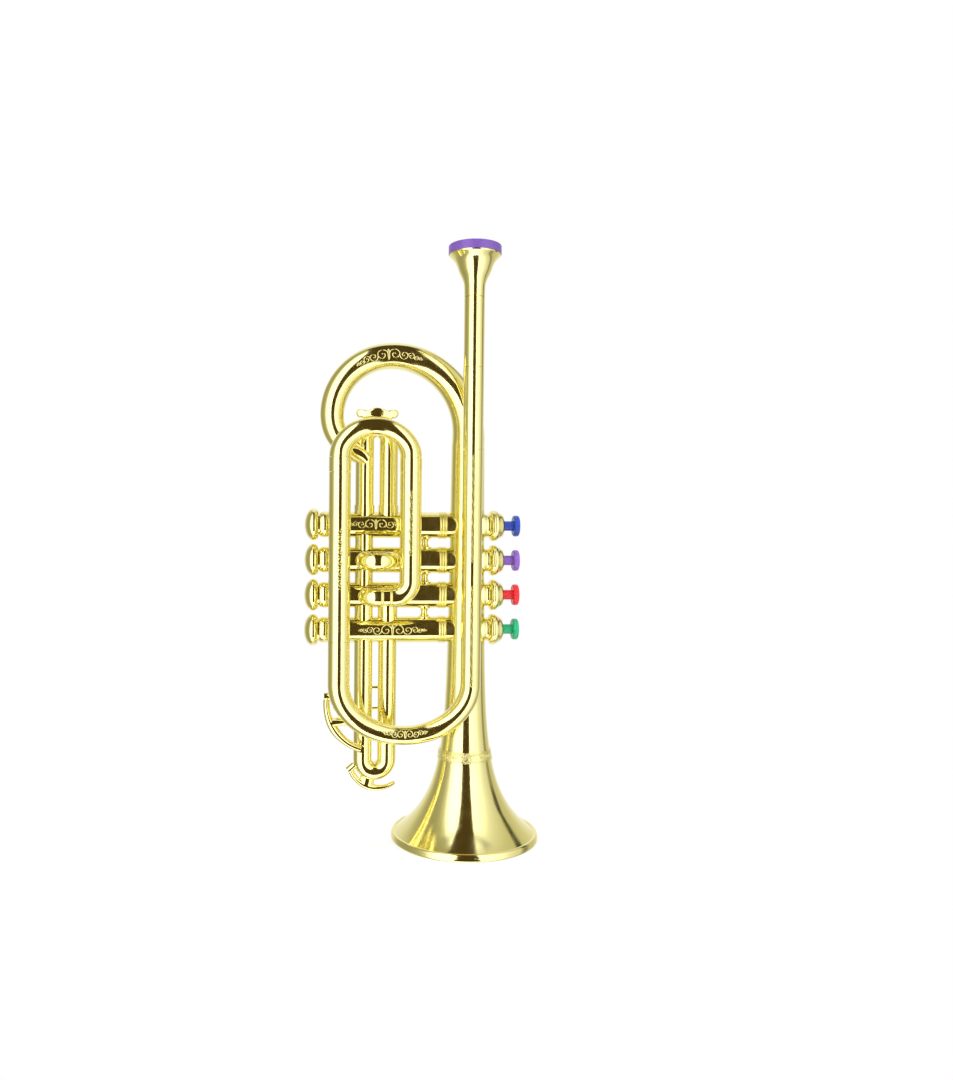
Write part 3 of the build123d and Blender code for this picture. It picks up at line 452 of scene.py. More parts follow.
def moulded_plastic(name, colour, roughness):
    """Coloured ABS, polypropylene or rubber straight from a mould: soft gloss, with a faint
    mottle in the pigment and the fine orange peel of the mould."""
    material, tree = new_material(name)
    place = add_node(tree, "ShaderNodeTexCoord").outputs["Object"]
    mottle = add_node(
        tree,
        "ShaderNodeTexNoise",
        {"Scale": size_to_scale(MOTTLE_SIZE), "Detail": 3.0, "Vector": place},
    )
    shade = add_node(
        tree,
        "ShaderNodeMapRange",
        {"To Min": MOTTLE_TONE[0], "To Max": MOTTLE_TONE[1], "Value": mottle.outputs["Fac"]},
    )
    tone = add_node(
        tree,
        "ShaderNodeHueSaturation",
        {"Color": linear(colour), "Value": shade.outputs["Result"]},
    )
    peel = add_node(
        tree,
        "ShaderNodeTexNoise",
        {"Scale": size_to_scale(PEEL_SIZE), "Detail": 2.0, "Vector": place},
    )
    bump = add_node(
        tree,
        "ShaderNodeBump",
        {"Strength": PEEL_STRENGTH, "Distance": PEEL_DEPTH, "Height": peel.outputs["Fac"]},
    )
    gloss = add_node(
        tree,
        "ShaderNodeMapRange",
        {
            "To Min": roughness * MOTTLE_GLOSS[0],
            "To Max": roughness * MOTTLE_GLOSS[1],
            "Value": mottle.outputs["Fac"],
        },
    )
    shader = add_node(
        tree,
        "ShaderNodeBsdfPrincipled",
        {
            "IOR": PLASTIC_IOR,
            "Base Color": tone.outputs["Color"],
            "Roughness": gloss.outputs["Result"],
            "Normal": bump.outputs["Normal"],
        },
    )
    add_node(tree, "ShaderNodeOutputMaterial", {"Surface": shader.outputs[0]})
    return material


def drawn_metal(name, colour, roughness):
    """Drawn spring wire or rolled reed strip: bare metal whose gloss is finely uneven."""
    material, tree = new_material(name)
    place = add_node(tree, "ShaderNodeTexCoord").outputs["Object"]
    grain = add_node(
        tree,
        "ShaderNodeTexNoise",
        {"Scale": size_to_scale(METAL_GRAIN_SIZE), "Detail": 2.0, "Vector": place},
    )
    rough = add_node(
        tree,
        "ShaderNodeMapRange",
        {
            "To Min": roughness * METAL_GLOSS[0],
            "To Max": roughness * METAL_GLOSS[1],
            "Value": grain.outputs["Fac"],
        },
    )
    shader = add_node(
        tree,
        "ShaderNodeBsdfPrincipled",
        {"Metallic": 1.0, "Base Color": linear(colour), "Roughness": rough.outputs["Result"]},
    )
    add_node(tree, "ShaderNodeOutputMaterial", {"Surface": shader.outputs[0]})
    return material


def paint(nodes, material):
    """Give CAD nodes a material in place of the plain one."""
    for name in nodes:
        materials = frame["nodes"][name].data.materials
        materials.clear()
        materials.append(material)


class TrumpetSettings(bpy.types.PropertyGroup):
    """Colours and sizes of the trumpet's finish."""

    gold_light: bpy.props.StringProperty(
        name="Gold, light", description="Lighter tint of the plating, sRGB hex", default="#F8F0B0"
    )
    gold_deep: bpy.props.StringProperty(
        name="Gold, deep", description="Deeper tint of the plating, sRGB hex", default="#F5EA9A"
    )
    blue: bpy.props.StringProperty(
        name="Blue key", description="Top key, sRGB hex", default="#1F3FA6"
    )
    purple: bpy.props.StringProperty(
        name="Purple key", description="Second key, sRGB hex", default="#8258B8"
    )
    red: bpy.props.StringProperty(
        name="Red key", description="Third key, sRGB hex", default="#E0202A"
    )
    green: bpy.props.StringProperty(
        name="Green key", description="Bottom key, sRGB hex", default="#1BA874"
    )
    rim: bpy.props.StringProperty(
        name="Rim", description="Mouthpiece rim, sRGB hex", default="#6C4A9C"
    )
    strand_radius: bpy.props.FloatProperty(
        name="Scroll strand",
        description="Half thickness of the raised scroll lines",
        default=0.28 * MM,
        unit="LENGTH",
    )


class TRUMPET_OT_plating(bpy.types.Operator):
    """Plate every gold piece"""

    bl_idname = "trumpet.plating"
    bl_label = "Plating"

    def execute(self, context):
        settings = context.scene.trumpet
        gold = electroplated_abs_gold(settings)
        paint([name for name in frame["nodes"] if name not in PLAIN_NODES], gold)
        saddle = electroplated_abs_gold(
            settings, "electroplated ABS gold crowned", (SADDLE_MIDDLE, SADDLE_RADII)
        )
        paint(["thumb_saddle"], saddle)
        collared = electroplated_abs_gold(
            settings, "electroplated ABS gold stippled", band=(COLLAR_FOOT, COLLAR_TOP)
        )
        paint(["bell_flare"], collared)
        return {"FINISHED"}


class TRUMPET_OT_keys(bpy.types.Operator):
    """Colour the finger keys and the mouthpiece rim"""

    bl_idname = "trumpet.keys"
    bl_label = "Keys and rim"

    def execute(self, context):
        settings = context.scene.trumpet
        for node, colour in zip(KEY_NODES, KEY_COLOURS):
            tint = getattr(settings, colour)
            paint([node], moulded_plastic(f"moulded ABS {colour}", tint, KEY_ROUGHNESS))
        rim = moulded_plastic("moulded polypropylene purple", settings.rim, RIM_ROUGHNESS)
        paint(RIM_NODES, rim)
        return {"FINISHED"}


class TRUMPET_OT_workings(bpy.types.Operator):
    """Finish the plungers, pads, springs and reeds inside the valves"""

    bl_idname = "trumpet.workings"
    bl_label = "Valve workings"

    def execute(self, context):
        paint(PLASTIC_NODES, moulded_plastic(*NATURAL_ABS))
        paint(PAD_NODES, moulded_plastic(*PAD_RUBBER))
        paint(REED_NODES, drawn_metal(*REED_BRASS))
        steel = drawn_metal(*SPRING_STEEL)
        paint(SPRING_NODES, steel)
        tree, identifiers = coil_tree()
        for node, joint in zip(SPRING_NODES, frame["joints"]):
            wind_spring(node, tree, identifiers, steel)
        return {"FINISHED"}


def curl(start, radius, side, way):
    """One curl, over or under its circle and then winding inwards, as distances along
    and across the tube that carries it."""
    points = []
    for step in range(CURL_STEPS + 1):
        turned = step / CURL_STEPS * CURL_TURNS * 2 * math.pi
        reach = radius * math.exp(-CURL_SHRINK * max(0.0, turned - math.pi))
        along = start + way * (radius - reach * math.cos(turned))
        points.append((along, side * reach * math.sin(turned)))
    return points


def running_scroll(radii, start=0.0, way=1):
    """Curls one after another, over and under the line by turns."""
    strands = []
    side = 1
    for radius in radii:
        strands.append(curl(start, radius, side, way))
        start += way * 2 * radius
        side = -side
    return strands


def oval(middle, half_length, half_height):
    """A closed oval drawn as one strand."""
    turns = [2 * math.pi * step / CURL_STEPS for step in range(CURL_STEPS + 1)]
    return [(middle + half_length * math.cos(turn), half_height * math.sin(turn)) for turn in turns]


def flourish(radii):
    """A pair of running scrolls that open from a small oval between them."""
    bud = radii[-1] / 2
    strands = [oval(0.0, bud, radii[0])]
    for way in (1, -1):
        strands += running_scroll(radii, way * bud, way)
        tip = way * (bud + 2 * sum(radii) + bud)
        strands.append(oval(tip, bud, bud / 2))
    return strands


def across_casing(middle):
    """Where a point of a drawing lies in front of a valve casing."""
    x, z = middle
    return lambda along, across: (x + along, DRAWING_Y, z + across)


def down_pipe(x, top):
    """Where a point of a drawing lies in front of an upright pipe."""
    return lambda along, across: (x + across, DRAWING_Y, top - along)


def round_bow(along, across):
    """Where a point of a drawing lies in front of the bow's top."""
    way = along + BOW_SHIFT
    centre, radius = BOW_LEFT_CENTRE, BOW_LEFT_RADIUS
    if way > 0:
        centre, radius = BOW_RIGHT_CENTRE, BOW_RIGHT_RADIUS
    reach = radius + across
    turn = way / radius
    return BOW_JOINT_X + reach * math.sin(turn), DRAWING_Y, centre + reach * math.cos(turn)


def round_crook(along, across):
    """Where a point of a drawing lies in front of the lower crook's bottom."""
    turn = along / CROOK_HALF_WIDTH
    outwards = Vector((math.sin(turn) / CROOK_HALF_WIDTH, -math.cos(turn) / CROOK_HALF_HEIGHT))
    outwards *= (across + CROOK_SHIFT) / outwards.length
    x = CROOK_CENTRE_X + CROOK_HALF_WIDTH * math.sin(turn) - outwards.x
    return x, DRAWING_Y, CROOK_CENTRE_Z - CROOK_HALF_HEIGHT * math.cos(turn) - outwards.y


def round_collar(along, across):
    """Where a point of a drawing lies outside the bell's collar, from the front round."""
    turn = along / COLLAR_RADIUS
    x = DRAWING_RADIUS * math.sin(turn)
    return x, -DRAWING_RADIUS * math.cos(turn), COLLAR_HEIGHT + across


def rolled_rim():
    """The bell's rim, rolled outwards: square at its foot and round on top."""
    middle = ROLL_OUTER_RADIUS - ROLL_WIDTH / 2
    shape = bmesh.new()
    rings = []
    for step in range(ROLL_STEPS):
        around = 2 * math.pi * step / ROLL_STEPS
        ring = []
        for corner in range(ROLL_SECTION_STEPS):
            turn = 2 * math.pi * corner / ROLL_SECTION_STEPS
            across, up = math.cos(turn), math.sin(turn)
            power = ROLL_TOP_POWER if up > 0 else ROLL_FOOT_POWER
            reach = (abs(across) ** power + abs(up) ** power) ** (-1 / power)
            radius = middle + reach * across * ROLL_WIDTH / 2
            height = (1 + reach * up) * ROLL_HEIGHT / 2
            ring.append(
                shape.verts.new((radius * math.sin(around), -radius * math.cos(around), height))
            )
        rings.append(ring)
    for ring, following in zip(rings, rings[1:] + rings[:1]):
        for corner in range(ROLL_SECTION_STEPS):
            after = (corner + 1) % ROLL_SECTION_STEPS
            face = shape.faces.new((ring[corner], ring[after], following[after], following[corner]))
            face.smooth = True
    bmesh.ops.recalc_face_normals(shape, faces=shape.faces)
    mesh = bpy.data.meshes.new("rolled_rim")
    shape.to_mesh(mesh)
    shape.free()
    return mesh


def collar_drawing():
    """Arches round the bell with scrolls under them, over a plain line."""
    quarter = 2 * math.pi * COLLAR_RADIUS / COLLAR_ARCHES
    strands = []
    for arch in range(COLLAR_ARCHES):
        for rise in (COLLAR_ARCH_HEIGHT, COLLAR_ARCH_HEIGHT - COLLAR_ARCH_INSET):
            line = []
            for step in range(COLLAR_STEPS + 1):
                share = step / COLLAR_STEPS
                height = rise * math.sqrt(math.sin(math.pi * share) + ARCH_FOOT_LIFT)
                line.append((quarter * (arch + share), height))
            strands.append(line)
        middle = quarter * (arch + 0.5)
        for way in (1, -1):
            strands += running_scroll(COLLAR_CURLS, middle + way * COLLAR_CURL_GAP, way)
    steps = COLLAR_ARCHES * COLLAR_STEPS
    strands.append([(quarter * step / COLLAR_STEPS, COLLAR_LINE) for step in range(steps + 1)])
    return strands


def strand_mesh(name, strands, place):
    """A mesh of bare edges from strands drawn flat."""
    corners = []
    edges = []
    for strand in strands:
        first = len(corners)
        corners += [place(along, across) for along, across in strand]
        edges += [(index, index + 1) for index in range(first, len(corners) - 1)]
    mesh = bpy.data.meshes.new(name)
    mesh.from_pydata(corners, edges, [])
    return mesh


def new_tree(name, sockets):
    """An empty Geometry Nodes tree with named inputs, and the identifier of each."""
    tree = bpy.data.node_groups.new(name, "GeometryNodeTree")
    identifiers = {}
    for label, kind in sockets:
        socket = tree.interface.new_socket(label, in_out="INPUT", socket_type=kind)
        identifiers[label] = socket.identifier
    tree.interface.new_socket("Geometry", in_out="OUTPUT", socket_type="NodeSocketGeometry")
    return tree, add_node(tree, "NodeGroupInput").outputs, identifiers


def finish_tree(tree, geometry, material):
    """End a tree with real, smooth, painted faces."""
    smooth = add_node(tree, "GeometryNodeSetShadeSmooth", {"Geometry": geometry})
    real = add_node(
        tree, "GeometryNodeRealizeInstances", {"Geometry": smooth.outputs["Geometry"]}
    )
    painted = add_node(
        tree,
        "GeometryNodeSetMaterial",
        {"Geometry": real.outputs["Geometry"], "Material": material},
    )
    add_node(tree, "NodeGroupOutput", {"Geometry": painted.outputs["Geometry"]})


def sweep(tree, curve, radius):
    """A round section swept along a curve, with closed ends."""
    section = add_node(
        tree, "GeometryNodeCurvePrimitiveCircle", {"Resolution": SECTION_SIDES, "Radius": radius}
    )
    swept = add_node(
        tree,
        "GeometryNodeCurveToMesh",
        {"Fill Caps": True, "Curve": curve, "Profile Curve": section.outputs["Curve"]},
    )
    return swept.outputs["Mesh"]


def relief_tree():
    """Strands drawn off the surface, cast onto it and swept with a round section."""
    tree, given, identifiers = new_tree(
        "relief strands",
        (
            ("Geometry", "NodeSocketGeometry"),
            ("Surface", "NodeSocketObject"),
            ("Round Upright Axis", "NodeSocketBool"),
            ("Strand Radius", "NodeSocketFloat"),
            ("Material", "NodeSocketMaterial"),
        ),
    )
    curves = add_node(tree, "GeometryNodeMeshToCurve", {"Mesh": given["Geometry"]})
    surface = add_node(
        tree,
        "GeometryNodeObjectInfo",
        {"Object": given["Surface"]},
        transform_space="RELATIVE",
    )
    inwards = add_node(
        tree,
        "ShaderNodeVectorMath",
        {1: (-1.0, -1.0, 0.0), 0: add_node(tree, "GeometryNodeInputPosition").outputs["Position"]},
        operation="MULTIPLY",
    )
    aim = add_node(
        tree,
        "GeometryNodeSwitch",
        {
            "False": (0.0, 1.0, 0.0),
            "Switch": given["Round Upright Axis"],
            "True": inwards.outputs["Vector"],
        },
        input_type="VECTOR",
    )
    cast = add_node(
        tree,
        "GeometryNodeRaycast",
        {
            "Ray Length": 1.0,
            "Target Geometry": surface.outputs["Geometry"],
            "Ray Direction": aim.outputs["Output"],
        },
    )
    seated = add_node(
        tree,
        "GeometryNodeSetPosition",
        {"Geometry": curves.outputs["Curve"], "Position": cast.outputs["Hit Position"]},
    )
    swept = sweep(tree, seated.outputs["Geometry"], given["Strand Radius"])
    finish_tree(tree, swept, given["Material"])
    return tree, identifiers


def coil_tree():
    """A wire wound evenly round a level axis, from its left end."""
    tree, given, identifiers = new_tree(
        "spring coil",
        (
            ("Geometry", "NodeSocketGeometry"),
            ("Left End", "NodeSocketVector"),
            ("Length", "NodeSocketFloat"),
            ("Coil Radius", "NodeSocketFloat"),
            ("Turns", "NodeSocketFloat"),
            ("Wire Radius", "NodeSocketFloat"),
            ("Material", "NodeSocketMaterial"),
        ),
    )
    wound = add_node(
        tree,
        "GeometryNodeCurveSpiral",
        {
            "Resolution": COIL_STEPS,
            "Rotations": given["Turns"],
            "Start Radius": given["Coil Radius"],
            "End Radius": given["Coil Radius"],
            "Height": given["Length"],
        },
    )
    laid = add_node(
        tree,
        "GeometryNodeTransform",
        {
            "Rotation": (0.0, math.pi / 2, 0.0),
            "Geometry": wound.outputs["Curve"],
            "Translation": given["Left End"],
        },
    )
    swept = sweep(tree, laid.outputs["Geometry"], given["Wire Radius"])
    finish_tree(tree, swept, given["Material"])
    return tree, identifiers


def grow(name, mesh, tree, identifiers, values):
    """Run a tree on a mesh, keep the plain result and fix it to the trumpet."""
    piece = bpy.data.objects.new(name, mesh)
    bpy.context.collection.objects.link(piece)
    modifier = piece.modifiers.new(tree.name, "NODES")
    modifier.node_group = tree
    for label, value in values.items():
        modifier[identifiers[label]] = value
    evaluated = piece.evaluated_get(bpy.context.evaluated_depsgraph_get())
    grown = bpy.data.meshes.new_from_object(evaluated)
    piece.modifiers.clear()
    piece.data = grown
    bpy.data.meshes.remove(mesh)
    if not grown.polygons:
        raise RuntimeError(f"{name} came out empty")
    if min(corner.co.length for corner in grown.vertices) < ORIGIN_CLEARANCE:
        raise RuntimeError(f"a strand of {name} missed its surface and fell to the origin")
    shape = bmesh.new()
    shape.from_mesh(grown)
    bmesh.ops.recalc_face_normals(shape, faces=shape.faces)
    shape.to_mesh(grown)
    shape.free()
    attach(piece, TRUMPET_BODY)
    return piece


def wind_spring(node, tree, identifiers, steel):
    """Wind one return spring where its node is."""
    low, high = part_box(node)
    middle = (low + high) / 2
    length = high.x - low.x
    left_end = (low.x + WIRE_RADIUS, middle.y, middle.z)
    values = {
        "Left End": left_end,
        "Length": length - 2 * WIRE_RADIUS,
        "Coil Radius": (high.z - low.z) / 2 - WIRE_RADIUS,
        "Turns": COIL_TURNS,
        "Wire Radius": WIRE_RADIUS,
        "Material": steel,
    }
    bare = bpy.data.meshes.new(node)
    piece = grow(f"{node}_coil", bare, tree, identifiers, values)
    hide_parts(node)
    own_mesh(piece)


def raise_relief(reliefs, settings, round_axis=False):
    """Raise each drawing on the node that carries it."""
    tree, identifiers = relief_tree()
    for name, carrier, strands, place in reliefs:
        values = {
            "Surface": frame["nodes"][carrier],
            "Round Upright Axis": round_axis,
            "Strand Radius": settings.strand_radius,
            "Material": frame["nodes"][carrier].data.materials[0],
        }
        grow(name, strand_mesh(name, strands, place), tree, identifiers, values)


def camera_axes():
    """Right, up and forward of the photograph's camera."""
    forward = Vector((-math.sin(CAMERA_YAW), math.cos(CAMERA_YAW), 0))
    right = Vector((math.cos(CAMERA_YAW), math.sin(CAMERA_YAW), 0))
    level_up = Vector((0, 0, 1))
    look = forward * math.cos(CAMERA_PITCH) + level_up * math.sin(CAMERA_PITCH)
    up = level_up * math.cos(CAMERA_PITCH) - forward * math.sin(CAMERA_PITCH)
    turned_right = right * math.cos(CAMERA_ROLL) + up * math.sin(CAMERA_ROLL)
    turned_up = up * math.cos(CAMERA_ROLL) - right * math.sin(CAMERA_ROLL)
    return turned_right, turned_up, look


def place_camera():
    """A camera where the photograph was taken from."""
    data = bpy.data.cameras.new("camera")
    data.sensor_width = SENSOR_MM
    data.lens = FOCAL_PIXELS / IMAGE_HEIGHT * SENSOR_MM
    data.shift_x = (IMAGE_WIDTH / 2 - CENTRE_COLUMN) / IMAGE_HEIGHT
    data.clip_start = NEAREST_SEEN
    camera = bpy.data.objects.new("camera", data)
    right, up, look = camera_axes()
    turn = Matrix((right, up, -look)).transposed()
    camera.matrix_world = Matrix.Translation(CAMERA_PLACE) @ turn.to_4x4()
    bpy.context.collection.objects.link(camera)
    bpy.context.scene.camera = camera


def wall_levels(tree, around):
    """The walls' level at an angle round the trumpet."""
    place = add_node(
        tree,
        "ShaderNodeMapRange",
        {"From Min": -180.0, "From Max": 180.0, "Value": around},
    )
    curve = add_node(tree, "ShaderNodeFloatCurve", {"Value": place.outputs["Result"]})
    points = curve.mapping.curves[0].points
    for index, (angle, level) in enumerate(WALLS):
        spot = ((angle + 180) / 360, level / WALL_TOP_LEVEL)
        if index in (0, len(WALLS) - 1):
            points[0 if index == 0 else -1].location = spot
        else:
            points.new(*spot)
    curve.mapping.update()
    return add_node(
        tree, "ShaderNodeMath", {0: curve.outputs["Value"], 1: WALL_TOP_LEVEL}, operation="MULTIPLY"
    ).outputs[0]


def lid_gap(tree, around, height):
    """The share of light that the gap under the top box leaves."""
    above = add_node(
        tree, "ShaderNodeMath", {0: height, 1: LID_GAP_MIDDLE}, operation="SUBTRACT"
    ).outputs[0]
    off_middle = add_node(tree, "ShaderNodeMath", {0: above}, operation="ABSOLUTE").outputs[0]
    clear = add_node(
        tree,
        "ShaderNodeMapRange",
        {
            "Value": off_middle,
            "From Min": LID_GAP_HALF - LID_GAP_SOFTNESS,
            "From Max": LID_GAP_HALF + LID_GAP_SOFTNESS,
        },
        interpolation_type="SMOOTHSTEP",
    ).outputs[0]
    turned = add_node(tree, "ShaderNodeMath", {0: around}, operation="ABSOLUTE").outputs[0]
    past = add_node(
        tree,
        "ShaderNodeMapRange",
        {
            "Value": turned,
            "From Min": LID_GAP_REACH - LID_GAP_END,
            "From Max": LID_GAP_REACH + LID_GAP_END,
        },
        interpolation_type="SMOOTHSTEP",
    ).outputs[0]
    outside = add_node(tree, "ShaderNodeMath", {0: clear, 1: past}, operation="MAXIMUM").outputs[0]
    return add_node(
        tree,
        "ShaderNodeMapRange",
        {"Value": outside, "To Min": LID_GAP_LEVEL},
        interpolation_type="SMOOTHSTEP",
    ).outputs[0]


def doorway(tree, around, height):
    """The share of light that the dark doorway leaves."""
    above = add_node(
        tree, "ShaderNodeMath", {0: height, 1: DOORWAY_LEAN_FROM}, operation="SUBTRACT"
    ).outputs[0]
    raised = add_node(tree, "ShaderNodeMath", {0: above, 1: 0.0}, operation="MAXIMUM").outputs[0]
    lean = add_node(
        tree, "ShaderNodeMath", {0: raised, 1: DOORWAY_LEAN}, operation="MULTIPLY"
    ).outputs[0]
    upright = add_node(
        tree, "ShaderNodeMath", {0: around, 1: lean}, operation="SUBTRACT"
    ).outputs[0]
    beside = add_node(
        tree, "ShaderNodeMath", {0: upright, 1: DOORWAY_MIDDLE}, operation="SUBTRACT"
    ).outputs[0]
    off_middle = add_node(tree, "ShaderNodeMath", {0: beside}, operation="ABSOLUTE").outputs[0]
    jamb = add_node(
        tree,
        "ShaderNodeMapRange",
        {
            "Value": off_middle,
            "From Min": DOORWAY_HALF - DOORWAY_SOFTNESS,
            "From Max": DOORWAY_HALF + DOORWAY_SOFTNESS,
        },
        interpolation_type="SMOOTHSTEP",
    ).outputs[0]
    lintel = add_node(
        tree,
        "ShaderNodeMapRange",
        {
            "Value": height,
            "From Min": DOORWAY_LOW,
            "From Max": DOORWAY_HIGH,
            "To Max": LINTEL_SHARE,
        },
        interpolation_type="SMOOTHSTEP",
    ).outputs[0]
    threshold = add_node(
        tree,
        "ShaderNodeMapRange",
        {
            "Value": height,
            "From Min": THRESHOLD_LOW,
            "From Max": THRESHOLD_HIGH,
            "To Min": THRESHOLD_SHARE,
            "To Max": 0.0,
        },
        interpolation_type="SMOOTHSTEP",
    ).outputs[0]
    framed = add_node(tree, "ShaderNodeMath", {0: jamb, 1: lintel}, operation="MAXIMUM").outputs[0]
    outside = add_node(
        tree, "ShaderNodeMath", {0: framed, 1: threshold}, operation="MAXIMUM"
    ).outputs[0]
    return add_node(
        tree,
        "ShaderNodeMapRange",
        {"Value": outside, "To Min": DOORWAY_LEVEL},
        interpolation_type="SMOOTHSTEP",
    ).outputs[0]


def studio_world():
    """White paper to look at, and bright and dim walls for the plating to mirror."""
    world = bpy.data.worlds.new("studio")
    bpy.context.scene.world = world
    world.use_nodes = True
    tree = world.node_tree
    tree.nodes.clear()
    direction = add_node(tree, "ShaderNodeTexCoord").outputs["Generated"]
    parts = add_node(tree, "ShaderNodeSeparateXYZ", {"Vector": direction})
    front = add_node(
        tree, "ShaderNodeMath", {0: parts.outputs["Y"], 1: -1.0}, operation="MULTIPLY"
    ).outputs[0]
    turn = add_node(
        tree, "ShaderNodeMath", {0: parts.outputs["X"], 1: front}, operation="ARCTAN2"
    ).outputs[0]
    around = add_node(
        tree, "ShaderNodeMath", {0: turn, 1: math.degrees(1)}, operation="MULTIPLY"
    ).outputs[0]
    rise = add_node(tree, "ShaderNodeMath", {0: parts.outputs["Z"]}, operation="ARCSINE").outputs[0]
    height = add_node(
        tree, "ShaderNodeMath", {0: rise, 1: math.degrees(1)}, operation="MULTIPLY"
    ).outputs[0]
    walls = wall_levels(tree, around)
    whiteness = add_node(
        tree,
        "ShaderNodeMapRange",
        {"Value": walls, "From Min": WARM_LEVEL, "From Max": WHITE_LEVEL},
        interpolation_type="SMOOTHSTEP",
    ).outputs[0]
    warm = add_node(
        tree,
        "ShaderNodeMix",
        {6: linear(WARM_TINT), 7: linear("#FFFFFF"), 0: whiteness},
        data_type="RGBA",
    )
    lid = lid_gap(tree, around, height)
    door = doorway(tree, around, height)
    under_lid = add_node(
        tree, "ShaderNodeMath", {0: walls, 1: lid}, operation="MULTIPLY"
    ).outputs[0]
    light = add_node(
        tree, "ShaderNodeMath", {0: under_lid, 1: door}, operation="MULTIPLY"
    ).outputs[0]
    path = add_node(tree, "ShaderNodeLightPath")
    mirrored = add_node(
        tree, "ShaderNodeBackground", {"Color": warm.outputs[2], "Strength": light}
    )
    seen = add_node(tree, "ShaderNodeBackground", {"Color": linear("#FFFFFF"), "Strength": 1.0})
    fill = add_node(
        tree, "ShaderNodeBackground", {"Color": linear("#FFFFFF"), "Strength": FILL_LEVEL}
    )
    plain = add_node(
        tree,
        "ShaderNodeMixShader",
        {0: path.outputs["Is Glossy Ray"], 1: fill.outputs[0], 2: mirrored.outputs[0]},
    )
    clear_view = add_node(
        tree,
        "ShaderNodeMath",
        {0: path.outputs["Is Camera Ray"], 1: path.outputs["Is Transmission Ray"]},
        operation="MAXIMUM",
    ).outputs[0]
    whole = add_node(
        tree, "ShaderNodeMixShader", {0: clear_view, 1: plain.outputs[0], 2: seen.outputs[0]}
    )
    add_node(tree, "ShaderNodeOutputWorld", {"Surface": whole.outputs[0]})


def pale_floor():
    """A plain pale floor that keeps the trumpet's soft shadow."""
    mesh = bpy.data.meshes.new("floor")
    shape = bmesh.new()
    bmesh.ops.create_circle(shape, cap_ends=True, segments=FLOOR_CORNERS, radius=FLOOR_RADIUS)
    shape.to_mesh(mesh)
    shape.free()
    floor = bpy.data.objects.new("floor", mesh)
    bpy.context.collection.objects.link(floor)
    material, tree = new_material("painted board white")
    path = add_node(tree, "ShaderNodeLightPath")
    lit = add_node(tree, "ShaderNodeBsdfDiffuse", {"Color": linear("#F4F4F2")})
    white = add_node(tree, "ShaderNodeEmission", {"Color": linear("#FFFFFF"), "Strength": 1.0})
    place = add_node(tree, "ShaderNodeTexCoord").outputs["Object"]
    away = add_node(tree, "ShaderNodeVectorMath", {0: place}, operation="LENGTH")
    paper = add_node(
        tree,
        "ShaderNodeMapRange",
        {
            "Value": away.outputs["Value"],
            "From Min": SHADOW_NEAR,
            "From Max": SHADOW_FAR,
            "To Min": PAPER_SHARE,
        },
        interpolation_type="SMOOTHSTEP",
    ).outputs[0]
    share = add_node(
        tree, "ShaderNodeMath", {0: path.outputs["Is Camera Ray"], 1: paper}, operation="MULTIPLY"
    ).outputs[0]
    mixed = add_node(
        tree, "ShaderNodeMixShader", {0: share, 1: lit.outputs[0], 2: white.outputs[0]}
    )
    add_node(tree, "ShaderNodeOutputMaterial", {"Surface": mixed.outputs[0]})
    mesh.materials.append(material)
    floor.visible_glossy = False


def dark_cloth():
    """A curved strip of dark cloth that only the plating sees."""
    shape = bmesh.new()
    rows = []
    for angle in range(CLOTH_LOW, CLOTH_HIGH + 1, CLOTH_STEP):
        turn = math.radians(angle)
        y = -CLOTH_RADIUS * math.cos(turn)
        z = CLOTH_MIDDLE_Z + CLOTH_RADIUS * math.sin(turn)
        rows.append([shape.verts.new((x, y, z)) for x in (CLOTH_LEFT, CLOTH_RIGHT)])
    for low, high in zip(rows, rows[1:]):
        shape.faces.new((low[0], low[1], high[1], high[0]))
    mesh = bpy.data.meshes.new("dark_cloth")
    shape.to_mesh(mesh)
    shape.free()
    material, tree = new_material("cotton cloth brown")
    glow = add_node(tree, "ShaderNodeEmission", {"Color": linear(CLOTH_TINT), "Strength": 1.0})
    add_node(tree, "ShaderNodeOutputMaterial", {"Surface": glow.outputs[0]})
    mesh.materials.append(material)
    cloth = bpy.data.objects.new("dark_cloth", mesh)
    bpy.context.collection.objects.link(cloth)
    cloth.visible_camera = False
    cloth.visible_diffuse = False
    cloth.visible_transmission = False
    cloth.visible_shadow = False


def soft_lamps():
    """Three broad lamps that light the coloured plastic and the floor."""
    for name, place, size, power in LAMPS:
        data = bpy.data.lights.new(name, "AREA")
        data.shape = "DISK"
        data.size = size
        data.energy = power
        lamp = bpy.data.objects.new(name, data)
        lamp.location = place
        lamp.rotation_mode = "QUATERNION"
        lamp.rotation_quaternion = (LAMP_TARGET - Vector(place)).to_track_quat("-Z", "Y")
        lamp.visible_glossy = False
        bpy.context.collection.objects.link(lamp)


class TRUMPET_OT_scrolls(bpy.types.Operator):
    """Raise the scroll flourishes on two casings, the bow and the lower crook"""

    bl_idname = "trumpet.scrolls"
    bl_label = "Scroll flourishes"

    def execute(self, context):
        wide = flourish(WIDE_CURLS)
        middling = flourish(MIDDLING_CURLS)
        small = flourish(SMALL_CURLS)
        top_casing = across_casing(TOP_CASING_MIDDLE)
        low_casing = across_casing(LOW_CASING_MIDDLE)
        reliefs = (
            ("bow_scrolls", "bell_bow", wide, round_bow),
            ("top_valve_scrolls", "valve_casing_1", middling, top_casing),
            ("low_valve_scrolls", "valve_casing_4", wide, low_casing),
            ("crook_scrolls", "lower_crook", small, round_crook),
        )
        raise_relief(reliefs, context.scene.trumpet)
        return {"FINISHED"}


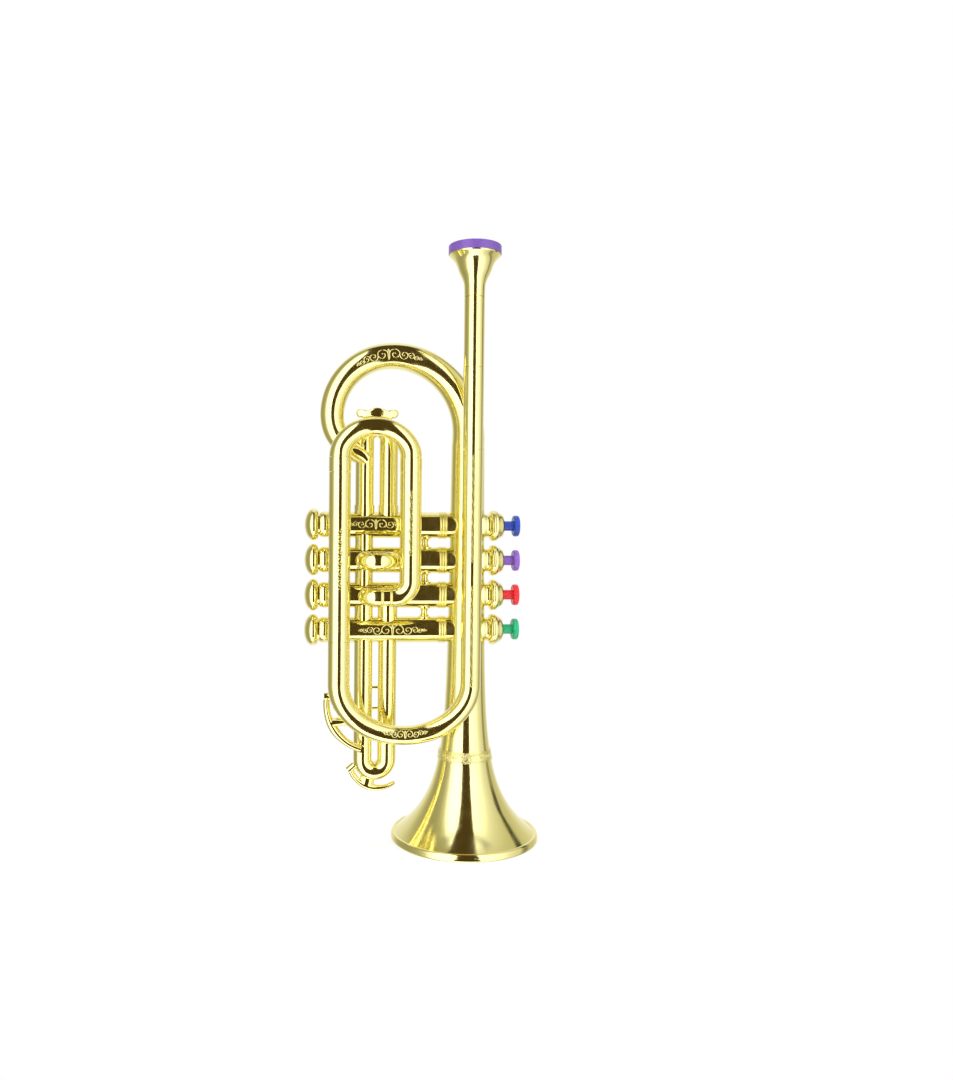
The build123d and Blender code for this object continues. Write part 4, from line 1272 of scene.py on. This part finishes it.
class TRUMPET_OT_vines(bpy.types.Operator):
    """Raise the running scrolls down the front of the three long pipes"""

    bl_idname = "trumpet.vines"
    bl_label = "Running scrolls"

    def execute(self, context):
        reliefs = [
            (name, carrier, running_scroll([VINE_CURL] * curls), down_pipe(x, top))
            for name, carrier, curls, x, top in VINES
        ]
        raise_relief(reliefs, context.scene.trumpet)
        return {"FINISHED"}


class TRUMPET_OT_bell(bpy.types.Operator):
    """Roll the bell's rim and raise the arches round its collar"""

    bl_idname = "trumpet.bell"
    bl_label = "Bell rim and collar"

    def execute(self, context):
        mesh = rolled_rim()
        mesh.materials.append(frame["nodes"]["bell_stem"].data.materials[0])
        rim = bpy.data.objects.new("rolled_rim", mesh)
        bpy.context.collection.objects.link(rim)
        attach(rim, TRUMPET_BODY)
        reliefs = [("collar_arches", "bell_flare", collar_drawing(), round_collar)]
        raise_relief(reliefs, context.scene.trumpet, round_axis=True)
        return {"FINISHED"}


class TRUMPET_OT_stage(bpy.types.Operator):
    """Set the floor, the cloth, the lamps, the walls and the camera"""

    bl_idname = "trumpet.stage"
    bl_label = "Stage"

    def execute(self, context):
        pale_floor()
        dark_cloth()
        soft_lamps()
        studio_world()
        place_camera()
        context.scene.view_settings.view_transform = "Standard"
        return {"FINISHED"}


class TRUMPET_PT_panel(bpy.types.Panel):
    """Lists the steps of the finish"""

    bl_label = "Toy Trumpet"
    bl_idname = "TRUMPET_PT_panel"
    bl_space_type = "VIEW_3D"
    bl_region_type = "UI"
    bl_category = "Toy Trumpet"

    def draw(self, context):
        for name in TrumpetSettings.__annotations__:
            self.layout.prop(context.scene.trumpet, name)
        for operator in OPERATORS:
            self.layout.operator(operator.bl_idname)


OPERATORS = (
    TRUMPET_OT_plating,
    TRUMPET_OT_keys,
    TRUMPET_OT_workings,
    TRUMPET_OT_scrolls,
    TRUMPET_OT_vines,
    TRUMPET_OT_bell,
    TRUMPET_OT_stage,
)
CLASSES = (TrumpetSettings, *OPERATORS, TRUMPET_PT_panel)


def register():
    for item in CLASSES:
        bpy.utils.register_class(item)
    bpy.types.Scene.trumpet = bpy.props.PointerProperty(type=TrumpetSettings)


def unregister():
    del bpy.types.Scene.trumpet
    for item in reversed(CLASSES):
        bpy.utils.unregister_class(item)


def main():
    """Build the whole finish."""
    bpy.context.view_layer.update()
    register()
    bpy.ops.trumpet.plating()
    bpy.ops.trumpet.keys()
    bpy.ops.trumpet.workings()
    bpy.ops.trumpet.scrolls()
    bpy.ops.trumpet.vines()
    bpy.ops.trumpet.bell()
    bpy.ops.trumpet.stage()


if __name__ == "__main__":
    main()
